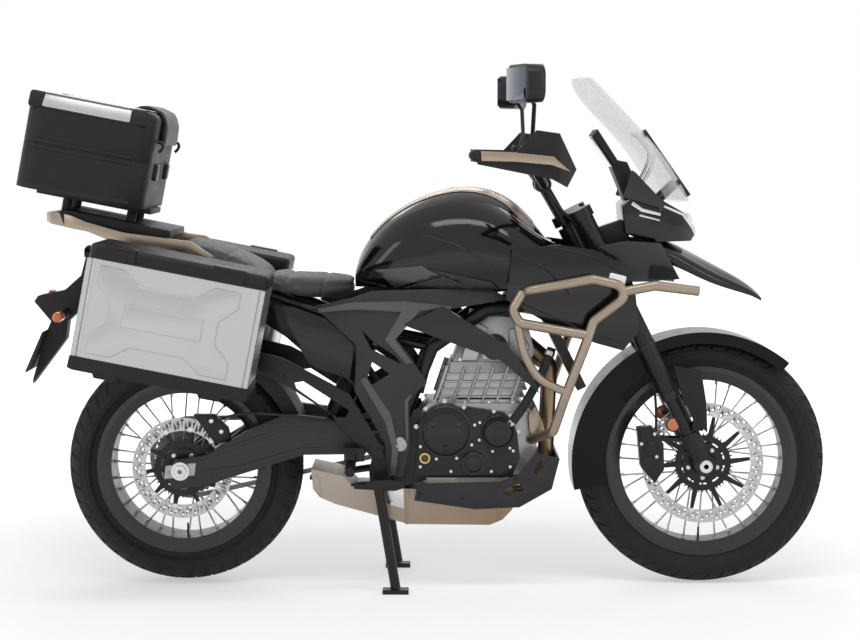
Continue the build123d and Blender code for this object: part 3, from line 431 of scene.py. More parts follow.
class Look:
    """Every finish of the machine, made once and shared."""

    RUBBER = Rubber()
    GLOSS = Finish("black lacquer", Slot.GLOSS, (0.006, 0.006, 0.0075), 0.10, coat=0.12, gloss_spread=0.02, grain=60.0,
                   grain_depth=0.0002, grain_strength=0.012, specular=0.3)
    FENDER = Finish("fender lacquer", Slot.GLOSS, (0.006, 0.007, 0.009), 0.2, gloss_spread=0.03, grain=60.0,
                    grain_depth=0.0002, grain_strength=0.012, specular=0.12)
    SATIN = Finish("satin black paint", Slot.BLACK_METAL, (0.010, 0.010, 0.0105), 0.34, grain=1100.0, specular=0.3)
    MATT = Finish("grained black plastic", Slot.MATT, (0.011, 0.011, 0.0125), 0.52, grain=1500.0, grain_depth=0.00014,
                  grain_strength=0.5, specular=0.28)
    CHARCOAL = Finish("charcoal plastic", Slot.MATT, (0.030, 0.030, 0.032), 0.40, grain=1300.0, grain_strength=0.4,
                      specular=0.35)
    WEDGE = Finish("satin grey plastic", Slot.GLOSS, (0.10, 0.102, 0.108), 0.32, metallic=0.3, grain=1000.0,
                   grain_strength=0.25, specular=0.4)
    BRONZE = Finish("champagne bronze paint", Slot.BRONZE, (0.33, 0.265, 0.205), 0.34, metallic=0.8, mottle=0.05,
                    coat=0.15, grain=1800.0, grain_strength=0.2)
    ALLOY = Finish("cast alloy", Slot.ENGINE, (0.36, 0.36, 0.35), 0.40, metallic=0.85, mottle=0.16, grain=800.0,
                   grain_depth=0.0001, grain_strength=0.5)
    BRIGHT = Finish("bright steel", Slot.DISC, (0.56, 0.56, 0.56), 0.22, metallic=0.95, mottle=0.05, grain=500.0,
                    grain_strength=0.08)
    DISC = Brushed("brake steel", Slot.DISC, (0.50, 0.50, 0.49), 0.3, (500.0, 60.0, 500.0))
    CASE = Brushed("brushed aluminium", Slot.CASE, (0.46, 0.47, 0.48), 0.34, (5.0, 700.0, 900.0), math.radians(11))
    COVER = Finish("black engine paint", Slot.ENGINE_BLACK, (0.020, 0.020, 0.021), 0.30, metallic=0.2, grain=900.0,
                   specular=0.35, grain_depth=0.00008, grain_strength=0.4)
    CHAIN = Finish("oiled steel", Slot.CHAIN, (0.20, 0.19, 0.18), 0.36, metallic=0.9, mottle=0.3)
    BASH = Finish("pressed black plate", Slot.BASH, (0.030, 0.030, 0.033), 0.38, metallic=0.3, grain=700.0,
                  specular=0.3)
    RIDER_SEAT = Hide("rider seat cover", (0.016, 0.016, 0.017), 760.0)
    PILLION_SEAT = Hide("pillion seat cover", (0.028, 0.028, 0.029), 520.0)
    SCREEN = Clear("clear screen", Slot.SCREEN)
    LENS = Clear("lamp lens", Slot.LAMP, (0.9, 0.93, 0.96), 0.02, 0.14)
    SMOKE = Clear("smoked lens", Slot.LAMP, (0.05, 0.05, 0.055), 0.03, 0.6)
    RED = Glow("red lens", Slot.LAMP, (0.42, 0.008, 0.006), 0.15)
    # orange emission: the indicators' own glow, and a painted glow on the fork reflectors
    ORANGE = Glow("orange lens", Slot.LAMP, (0.75, 0.16, 0.01), 0.05)
    WHITE = Glow("white lamp", Slot.LAMP, (0.85, 0.87, 0.9), 0.35)
    PLATE = Finish("pale plate", Slot.MATT, (0.62, 0.62, 0.60), 0.4, mottle=0.04, grain=400.0, grain_strength=0.1)
    MIRROR = Finish("mirror glass", Slot.LAMP, (0.10, 0.115, 0.14), 0.04, metallic=1.0, mottle=0.02, gloss_spread=0.01,
                    grain_strength=0.0)
    DIAL = Finish("display glass", Slot.LAMP, (0.01, 0.011, 0.013), 0.06, coat=0.8, grain_strength=0.0)
    GRIP = Finish("grip rubber", Slot.MATT, (0.014, 0.014, 0.014), 0.72, grain=1200.0, grain_strength=0.5)
    GOLD = Finish("gold anodising", Slot.BRONZE, (0.62, 0.40, 0.12), 0.28, metallic=0.9, mottle=0.04)
    HEAT = HeatTint()
    FRONT_WHEEL = RadialMetal("front wheel", (725.0, 0.0, 329.5), 47.0, 213.0)
    REAR_WHEEL = RadialMetal("rear wheel", (-645.0, 0.0, 318.0), 47.0, 191.0)

    made: dict[str, bpy.types.Material] = {}

    @classmethod
    def material(cls, finish: object) -> bpy.types.Material:
        """The material of a finish, built at its first use."""
        if finish.name not in cls.made:
            cls.made[finish.name] = finish.make()
        return cls.made[finish.name]


# ---------------------------------------------------------------- modelling tools
class Shaper:
    """Collects bmesh forms into one piece."""

    def __init__(self) -> None:
        """Start empty."""
        self.bm = bmesh.new()

    def bevel_edges(self, part: bmesh.types.BMesh, width: float, angle: float, segments: int) -> None:
        """Round the sharp edges of a form.

        Args:
            part: the form.
            width: width of the rounded edges in millimetres, 0 for none.
            angle: edges sharper than this are rounded, in degrees.
            segments: steps across a rounded edge.
        """
        if width <= 0:
            return
        sharp = [e for e in part.edges if e.is_manifold and e.calc_face_angle(0) > math.radians(angle)]
        bmesh.ops.bevel(part, geom=sharp, offset=width * MM, offset_type="OFFSET", affect="EDGES", segments=segments,
                        profile=0.5, material=-1, clamp_overlap=True)

    def take(self, part: bmesh.types.BMesh) -> None:
        """Add a finished form, with its faces turned outwards.

        Args:
            part: the form, which is used up.
        """
        bmesh.ops.recalc_face_normals(part, faces=part.faces)
        mesh = bpy.data.meshes.new("form")
        part.to_mesh(mesh)
        part.free()
        self.bm.from_mesh(mesh)
        bpy.data.meshes.remove(mesh)

    def plate(self, outline: Outline, y_from: float, y_to: float, bevel: float = 1.5, segments: int = 2) -> "Shaper":
        """Flat piece with a side outline of (x, z) points.

        Args:
            outline: corners in millimetres.
            y_from: first distance from the centre plane.
            y_to: second distance from the centre plane.
            bevel: width of the rounded edges.
            segments: steps across a rounded edge.

        Returns:
            The shaper, for more forms.
        """
        part = bmesh.new()
        corners = [part.verts.new((x * MM, y_from * MM, z * MM)) for x, z in outline]
        face = part.faces.new(corners)
        grown = bmesh.ops.extrude_face_region(part, geom=[face])
        moved = [v for v in grown["geom"] if isinstance(v, bmesh.types.BMVert)]
        bmesh.ops.translate(part, verts=moved, vec=(0, (y_to - y_from) * MM, 0))
        self.bevel_edges(part, bevel, 25, segments)
        self.take(part)
        return self

    def rod(self, start: Point, end: Point, radius: float, end_radius: float | None = None, segments: int = 20,
            bevel: float = 0.0) -> "Shaper":
        """Round bar or cone between two points.

        Args:
            start: middle of one end.
            end: middle of the other end.
            radius: radius at the start.
            end_radius: radius at the end, the same where left out.
            segments: sides round the bar.
            bevel: width of the rounded ends.

        Returns:
            The shaper.
        """
        part = bmesh.new()
        a, b = Vector(start) * MM, Vector(end) * MM
        run = b - a
        place = Matrix.Translation((a + b) / 2) @ run.to_track_quat("Z", "Y").to_matrix().to_4x4()
        tip = radius if end_radius is None else end_radius
        bmesh.ops.create_cone(part, cap_ends=True, segments=segments, radius1=radius * MM, radius2=tip * MM,
                              depth=run.length, matrix=place)
        self.bevel_edges(part, bevel, 50, 2)
        self.take(part)
        return self

    def box(self, centre: Point, size: Point, bevel: float = 1.5, turn: Point = (0, 0, 0),
            segments: int = 2) -> "Shaper":
        """Block with rounded edges.

        Args:
            centre: its middle.
            size: its length along X, Y and Z.
            bevel: width of the rounded edges.
            turn: turn in degrees about X, Y and Z.
            segments: steps across a rounded edge.

        Returns:
            The shaper.
        """
        part = bmesh.new()
        place = Matrix.Translation(Vector(centre) * MM)
        for axis, angle in zip("XYZ", turn):
            place = place @ Matrix.Rotation(math.radians(angle), 4, axis)
        place = place @ Matrix.Diagonal((*(s * MM for s in size), 1.0))
        bmesh.ops.create_cube(part, size=1.0, matrix=place)
        self.bevel_edges(part, bevel, 30, segments)
        self.take(part)
        return self

    def turned(self, profile: Outline, centre: Centre, steps: int = 72, bevel: float = 0.0) -> "Shaper":
        """Closed ring spun about a crosswise axis at centre (x, z).

        Args:
            profile: closed loop of (radius, y) points.
            centre: axis place (x, z).
            steps: divisions round the axis.
            bevel: rounded edges.

        Returns:
            The shaper.
        """
        part = bmesh.new()
        cx, cz = centre
        loop = [part.verts.new(((cx + r) * MM, y * MM, cz * MM)) for r, y in profile]
        edges = [part.edges.new((loop[i - 1], loop[i])) for i in range(len(loop))]
        bmesh.ops.spin(part, geom=loop + edges, cent=(cx * MM, 0, cz * MM), axis=(0, 1, 0), dvec=(0, 0, 0),
                       angle=2 * math.pi, steps=steps, use_merge=True, use_duplicate=False)
        bmesh.ops.remove_doubles(part, verts=part.verts, dist=MERGE)
        self.bevel_edges(part, bevel, 40, 2)
        self.take(part)
        return self

    def spun(self, profile: Outline, base: Point, axis: Point, steps: int = 28) -> "Shaper":
        """Closed body spun about any axis from a point.

        Args:
            profile: (radius, height) points from the axis and back to it.
            base: point on the axis at height 0, in millimetres.
            axis: direction of the axis.
            steps: divisions round the axis.

        Returns:
            The shaper.
        """
        part = bmesh.new()
        line = [part.verts.new((r * MM, 0, h * MM)) for r, h in profile]
        edges = [part.edges.new((line[i], line[i + 1])) for i in range(len(line) - 1)]
        bmesh.ops.spin(part, geom=line + edges, cent=(0, 0, 0), axis=(0, 0, 1), dvec=(0, 0, 0), angle=2 * math.pi,
                       steps=steps, use_merge=True, use_duplicate=False)
        bmesh.ops.remove_doubles(part, verts=part.verts, dist=MERGE)
        place = Matrix.Translation(Vector(base) * MM) @ Vector(axis).to_track_quat("Z", "Y").to_matrix().to_4x4()
        bmesh.ops.transform(part, matrix=place, verts=part.verts)
        self.take(part)
        return self

    def bolt(self, base: Point, axis: Point = ACROSS, radius: float = 6.0, height: float = 5.0) -> "Shaper":
        """Socket-head bolt standing on a face.

        Args:
            base: middle of its seat.
            axis: direction of its head.
            radius: radius of its head.
            height: height of its head.

        Returns:
            The shaper.
        """
        r = radius
        profile = [(0, height * 0.45), (r * 0.5, height * 0.45), (r * 0.52, height), (r * 0.82, height),
                   (r, height * 0.8), (r, 0.4), (r * 1.35, 0.2), (r * 1.35, -0.6), (0, -0.6)]
        return self.spun(profile, base, axis, 18)

    def bolts(self, spots: Outline, y: float, radius: float, height: float) -> "Shaper":
        """Socket-head bolts on a face that looks out to the rider's right.

        Args:
            spots: their places (x, z).
            y: place of the face across the machine.
            radius: radius of a head.
            height: height of a head.

        Returns:
            The shaper.
        """
        for x, z in spots:
            self.bolt((x, y, z), ACROSS, radius, height)
        return self

    def pipe(self, points: list[Point], radius: float, order: int = 3, steps: int = 12) -> "Shaper":
        """Smooth round tube along control points.

        Args:
            points: control points in millimetres.
            radius: radius of the tube.
            order: how widely the curve rounds its corners.
            steps: divisions between two control points.

        Returns:
            The shaper.
        """
        curve = bpy.data.curves.new("pipe", "CURVE")
        curve.dimensions = "3D"
        curve.bevel_depth = radius * MM
        curve.bevel_resolution = 4
        curve.resolution_u = steps
        curve.use_fill_caps = True
        spline = curve.splines.new("NURBS")
        spline.points.add(len(points) - 1)
        for target, point in zip(spline.points, points):
            target.co = (*(c * MM for c in point), 1.0)
        spline.order_u = order
        spline.use_endpoint_u = True
        holder = bpy.data.objects.new("pipe", curve)
        bpy.context.scene.collection.objects.link(holder)
        bpy.context.view_layer.update()
        mesh = bpy.data.meshes.new_from_object(holder.evaluated_get(bpy.context.evaluated_depsgraph_get()))
        part = bmesh.new()
        part.from_mesh(mesh)
        bmesh.ops.remove_doubles(part, verts=part.verts, dist=MERGE)
        self.take(part)
        bpy.data.objects.remove(holder)
        bpy.data.curves.remove(curve)
        bpy.data.meshes.remove(mesh)
        return self

    def mirrored(self) -> "Shaper":
        """Add the same forms on the other side of the machine."""
        part = self.bm.copy()
        bmesh.ops.scale(part, vec=(1, -1, 1), verts=part.verts)
        self.take(part)
        return self

    def ring_of(self, count: int, centre: Centre, start: float = 0.0) -> "Shaper":
        """Repeat what is here round a crosswise axis.

        Args:
            count: how many there are all round.
            centre: axis place (x, z).
            start: turn of the first one in degrees.

        Returns:
            The shaper.
        """
        cx, cz = centre
        base = self.bm.copy()
        if start:
            bmesh.ops.rotate(self.bm, cent=(cx * MM, 0, cz * MM), verts=self.bm.verts,
                             matrix=Matrix.Rotation(math.radians(start), 3, "Y"))
        for i in range(1, count):
            part = base.copy()
            bmesh.ops.rotate(part, cent=(cx * MM, 0, cz * MM), verts=part.verts,
                             matrix=Matrix.Rotation(math.radians(start + 360 * i / count), 3, "Y"))
            self.take(part)
        base.free()
        return self

    def joined(self, other: "Shaper") -> "Shaper":
        """Take over the forms of another shaper.

        Args:
            other: the other shaper, which is used up.

        Returns:
            The shaper.
        """
        mesh = bpy.data.meshes.new("form")
        other.bm.to_mesh(mesh)
        other.bm.free()
        self.bm.from_mesh(mesh)
        bpy.data.meshes.remove(mesh)
        return self

    def swapped(self) -> "Shaper":
        """Move everything here to the other side of the machine."""
        bmesh.ops.scale(self.bm, vec=(1, -1, 1), verts=self.bm.verts)
        bmesh.ops.recalc_face_normals(self.bm, faces=self.bm.faces)
        return self

    def placed(self, matrix: Matrix) -> "Shaper":
        """Move everything here by a matrix in metres."""
        bmesh.ops.transform(self.bm, matrix=matrix, verts=self.bm.verts)
        return self

    def done(self, name: str, finish: object, body: str = "chassis", replaces: tuple[str, ...] = (),
             smooth: float = 32.0) -> bpy.types.Object:
        """Make the piece.

        Args:
            name: name of the piece.
            finish: finish that it gets.
            body: body that it rides on.
            replaces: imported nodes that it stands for.
            smooth: angle under which edges shade smooth, in degrees.

        Returns:
            The new object.
        """
        mesh = bpy.data.meshes.new(name)
        self.bm.to_mesh(mesh)
        self.bm.free()
        return as_piece(name, mesh, finish, body, replaces, smooth)


def as_piece(name: str, mesh: bpy.types.Mesh, finish: object, body: str, replaces: tuple[str, ...] = (),
             smooth: float = 32.0) -> bpy.types.Object:
    """Put a mesh in the scene as a piece that rides on a body.

    Args:
        name: name of the piece.
        mesh: its mesh, in metres.
        finish: finish that it gets.
        body: body that it rides on.
        replaces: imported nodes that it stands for.
        smooth: angle under which edges shade smooth, in degrees.

    Returns:
        The new object.
    """
    for polygon in mesh.polygons:
        polygon.use_smooth = True
    mesh.set_sharp_from_angle(angle=math.radians(smooth))
    mesh.materials.clear()
    mesh.materials.append(Look.material(finish))
    piece = bpy.data.objects.new(name, mesh)
    bpy.context.scene.collection.objects.link(piece)
    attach(piece, body)
    if replaces:
        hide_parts(*replaces)
    log.info("%s: %d faces, rides on %s", name, len(mesh.polygons), body)
    return piece


def around(centre: Centre, radius: float, turn: float) -> tuple[float, float]:
    """Point at a radius round a centre in a plane, turned in degrees."""
    angle = math.radians(turn)
    return centre[0] + radius * math.cos(angle), centre[1] + radius * math.sin(angle)


def node_mesh(node: str, flat_angle: float = 0.6) -> bmesh.types.BMesh:
    """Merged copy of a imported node's mesh, with its flat faces whole again.

    Args:
        node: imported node.
        flat_angle: faces that meet at less than this become one, in degrees.

    Returns:
        The copy as a bmesh in metres.
    """
    bm = bmesh.new()
    bm.from_mesh(frame["nodes"][node].data)
    bmesh.ops.remove_doubles(bm, verts=bm.verts, dist=NODE_MERGE)
    bmesh.ops.dissolve_limit(bm, angle_limit=math.radians(flat_angle), verts=bm.verts, edges=bm.edges)
    return bm


def body_of(node: str) -> str:
    """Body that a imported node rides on."""
    for body, members in frame["record"]["behaviour"]["bodies"].items():
        if node in members:
            return body
    raise KeyError(node)


def softened(node: str, finish: object, bevel: float = 1.2, angle: float = 38.0,
             smooth: float = 30.0) -> bpy.types.Object:
    """Copy of a node with its hard edges broken, which stands for the node.

    Args:
        node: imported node.
        finish: finish that it gets.
        bevel: width of the broken edges in millimetres.
        angle: edges sharper than this are broken, in degrees.
        smooth: angle under which edges shade smooth, in degrees.

    Returns:
        The new object.
    """
    bm = node_mesh(node)
    sharp = [e for e in bm.edges if e.is_manifold and e.calc_face_angle(0) > math.radians(angle)]
    bmesh.ops.bevel(bm, geom=sharp, offset=bevel * MM, offset_type="OFFSET", affect="EDGES", segments=2, profile=0.5,
                    material=-1, clamp_overlap=True)
    bmesh.ops.triangulate(bm, faces=[f for f in bm.faces if len(f.verts) > 4])
    mesh = bpy.data.meshes.new(node)
    bm.to_mesh(mesh)
    bm.free()
    return as_piece(f"{node}-form", mesh, finish, body_of(node), (node,), smooth)


def painted(node: str, finish: object) -> None:
    """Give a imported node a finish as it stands."""
    obj = frame["nodes"][node]
    obj.data.materials.clear()
    obj.data.materials.append(Look.material(finish))


def skin(node: str, name: str, finish: object, cuts: list[tuple[Point, Point]], proud: float = 0.8,
         wall: float = 1.2, top_only: bool = False) -> bpy.types.Object:
    """Thin layer over part of a node, such as a trim strip.

    Args:
        node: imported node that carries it.
        name: name of the piece.
        finish: finish that it gets.
        cuts: planes as (point, normal); what lies on the normal's side is dropped.
        proud: how far it stands off the node in millimetres.
        wall: its thickness in millimetres.
        top_only: keep only faces that look up or sideways.

    Returns:
        The new object.
    """
    bm = bmesh.new()
    bm.from_mesh(frame["nodes"][node].data)
    bmesh.ops.remove_doubles(bm, verts=bm.verts, dist=NODE_MERGE)
    for point, normal in cuts:
        geometry = bm.verts[:] + bm.edges[:] + bm.faces[:]
        bmesh.ops.bisect_plane(bm, geom=geometry, plane_co=Vector(point) * MM, plane_no=Vector(normal), dist=MERGE,
                               clear_outer=True)
    if top_only:
        down = [f for f in bm.faces if f.normal.z < -0.2]
        bmesh.ops.delete(bm, geom=down, context="FACES")
    bm.normal_update()
    for vert in bm.verts:
        vert.co += vert.normal * proud * MM
    mesh = bpy.data.meshes.new(name)
    bm.to_mesh(mesh)
    bm.free()
    piece = as_piece(name, mesh, finish, body_of(node), (), 40)
    thick = piece.modifiers.new("wall", "SOLIDIFY")
    thick.thickness = wall * MM
    thick.offset = -1.0
    return piece


def on_side(node: str, x: float, z: float, inset: float = 1.6) -> Point:
    """Point a little under the right-hand face of a node.

    Args:
        node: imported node.
        x: place along the machine in millimetres.
        z: height in millimetres.
        inset: depth under the surface in millimetres.

    Returns:
        The point in millimetres.
    """
    bm = bmesh.new()
    bm.from_mesh(frame["nodes"][node].data)
    tree = BVHTree.FromBMesh(bm)
    bm.free()
    from_outside = Vector((x * MM, -2.0, z * MM))
    hit = tree.ray_cast(from_outside, Vector((0, 1, 0)))[0]
    return (x, hit.y / MM + inset, z)


# ---------------------------------------------------------------- studio
@dataclass(frozen=True)
class SoftBox:
    """One area lamp."""

    name: str
    place: Point
    size: tuple[float, float]
    watts: float
    aim: Point = (0.0, 0.0, 0.6)

    def build(self) -> None:
        """Hang the lamp."""
        data = bpy.data.lights.new(self.name, "AREA")
        data.shape = "RECTANGLE"
        data.size, data.size_y = self.size
        data.energy = self.watts
        lamp = bpy.data.objects.new(self.name, data)
        bpy.context.scene.collection.objects.link(lamp)
        lamp.location = self.place
        lamp.rotation_euler = (Vector(self.aim) - Vector(self.place)).to_track_quat("-Z", "Y").to_euler()


@dataclass
class Studio:
    """Pale floor, soft lamps and the camera."""

    camera_place: Point = (0.020, -5.0, 1.165)
    camera_dip: float = 0.0925
    camera_turn: float = 0.003
    lens: float = 79.1
    sensor: float = 36.0
    floor_radius: float = 14.0
    fill_level: float = 0.42
    white_level: float = 1.0
    shadow_level: float = 0.45                          # of the floor's own light under the machine
    shadow_reach: tuple[float, float] = (1.1, 3.4)      # metres over which it rises to white
    lamps: list[SoftBox] = field(default_factory=lambda: [
        SoftBox("top light", (0.1, -1.6, 3.6), (3.4, 0.55), 34.0),
        SoftBox("front light", (3.4, -2.4, 2.2), (0.5, 2.2), 13.0),
        SoftBox("rear light", (-3.4, -2.2, 2.0), (0.5, 2.2), 11.0),
        SoftBox("far side light", (0.0, 3.8, 3.0), (3.6, 0.8), 24.0),
        SoftBox("low fill", (0.0, -4.6, 0.7), (4.5, 0.7), 3.0),
    ])

    def floor(self) -> None:
        """Lay the floor, white to the camera, in glass and in gloss, with the machine's shadow on it."""
        bm = bmesh.new()
        bmesh.ops.create_circle(bm, cap_ends=True, segments=96, radius=self.floor_radius)
        mesh = bpy.data.meshes.new("floor")
        bm.to_mesh(mesh)
        bm.free()
        obj = bpy.data.objects.new("floor", mesh)
        bpy.context.scene.collection.objects.link(obj)
        n = Nodes("pale floor")
        cloud = n.noise(0.7)
        n.set(n.shader, "Base Color", n.mix(cloud, (0.80, 0.80, 0.80), (0.83, 0.83, 0.83)))
        n.constants(Roughness=0.9, Specular_IOR_Level=0.1, Emission_Color=(1, 1, 1, 1))
        path = n.add("LightPath").outputs
        seen = n.math("MAXIMUM", path["Is Camera Ray"], path["Is Glossy Ray"])
        seen = n.math("MAXIMUM", seen, path["Is Transmission Ray"])
        glow = n.spread(n.length(n.place), self.shadow_level, self.white_level, *self.shadow_reach)
        n.set(n.shader, "Emission Strength", n.math("MULTIPLY", seen, glow))
        mesh.materials.append(n.material)

    def world(self) -> None:
        """Even light all round, with a white background."""
        world = bpy.data.worlds.new("studio")
        bpy.context.scene.world = world
        world.use_nodes = True
        tree = world.node_tree
        background = tree.nodes["Background"]
        background.inputs["Color"].default_value = (1, 1, 1, 1)
        path = tree.nodes.new("ShaderNodeLightPath")
        shown = path.outputs["Is Camera Ray"]
        for kind in ("Is Glossy Ray", "Is Transmission Ray"):
            either = tree.nodes.new("ShaderNodeMath")
            either.operation = "MAXIMUM"
            tree.links.new(shown, either.inputs[0])
            tree.links.new(path.outputs[kind], either.inputs[1])
            shown = either.outputs[0]
        level = tree.nodes.new("ShaderNodeMapRange")
        level.inputs["To Min"].default_value = self.fill_level
        level.inputs["To Max"].default_value = self.white_level
        tree.links.new(shown, level.inputs["Value"])
        tree.links.new(level.outputs[0], background.inputs["Strength"])

    def camera(self) -> None:
        """Stand the camera at the rider's right."""
        data = bpy.data.cameras.new("camera")
        data.lens = self.lens
        data.sensor_width = self.sensor
        camera = bpy.data.objects.new("camera", data)
        bpy.context.scene.collection.objects.link(camera)
        camera.location = self.camera_place
        camera.rotation_euler = (math.pi / 2 - self.camera_dip, 0.0, self.camera_turn)
        bpy.context.scene.camera = camera
        bpy.context.scene.view_settings.view_transform = "Standard"

    def build(self) -> None:
        """Set up the whole studio."""
        self.camera()
        self.floor()
        self.world()
        for lamp in self.lamps:
            lamp.build()
        log.info("studio: %d lamps", len(self.lamps))


# ---------------------------------------------------------------- plain dressing
@dataclass
class Frame:
    """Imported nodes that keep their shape: some are painted as they stand, some get their edges broken."""

    painted: dict[str, object] = field(default_factory=lambda: {
        "front_rim": Look.FRONT_WHEEL, "rear_rim": Look.REAR_WHEEL, "fork": Look.SATIN, "handlebar": Look.SATIN,
        "main_frame": Look.SATIN, "subframe": Look.SATIN, "crash_bars": Look.BRONZE, "case_carriers": Look.SATIN,
        "lower_strips": Look.GLOSS, "exhaust": Look.HEAT, "windscreen": Look.SCREEN, "tank": Look.GLOSS,
        "front_fender": Look.FENDER, "beak": Look.GLOSS, "shrouds": Look.GLOSS, "tail_cover": Look.MATT,
        "rear_hugger": Look.MATT, "radiator": Look.SATIN, "fairing_stay": Look.SATIN, "centre_stand": Look.SATIN,
        "side_stand": Look.SATIN, "shock": Look.SATIN, "front_sprocket": Look.CHAIN, "rear_sprocket": Look.CHAIN,
        "chain": Look.CHAIN, "panniers": Look.CASE, "front_tyre": Look.RUBBER, "rear_tyre": Look.RUBBER,
        "front_disc": Look.DISC, "rear_disc": Look.DISC,
    })
    softened: dict[str, object] = field(default_factory=lambda: {
        "side_covers": Look.CHARCOAL, "hand_guards": Look.MATT, "fork_guards": Look.MATT, "front_caliper": Look.SATIN,
        "rear_caliper": Look.SATIN, "engine_block": Look.ALLOY, "engine_covers": Look.COVER, "bash_plate": Look.BASH,
        "swingarm": Look.CHARCOAL, "headlamp": Look.GLOSS, "dash": Look.MATT, "top_case": Look.MATT,
        "top_case_lid": Look.MATT, "pannier_lid_right": Look.MATT, "pannier_lid_left": Look.MATT,
        "rack_plate": Look.MATT, "grab_rail": Look.BRONZE, "plate_holder": Look.MATT, "footrests": Look.SATIN,
        "mirrors": Look.SATIN, "foot_controls": Look.SATIN, "seat_panels": Look.GLOSS, "nose_panels": Look.CHARCOAL,
    })
    edges: dict[str, float] = field(default_factory=lambda: {
        "mirrors": 13.0, "hand_guards": 2.0, "headlamp": 5.0, "dash": 3.0, "engine_block": 2.2, "engine_covers": 4.0,
        "swingarm": 3.5, "side_covers": 1.6, "rack_plate": 2.0, "plate_holder": 2.0, "front_caliper": 4.0,
        "rear_caliper": 4.0, "footrests": 2.0, "grab_rail": 3.0,
    })
    usual_edge: float = 1.2

    def build(self) -> None:
        """Dress every node."""
        for node, finish in self.painted.items():
            painted(node, finish)
        for node, finish in self.softened.items():
            softened(node, finish, self.edges.get(node, self.usual_edge))


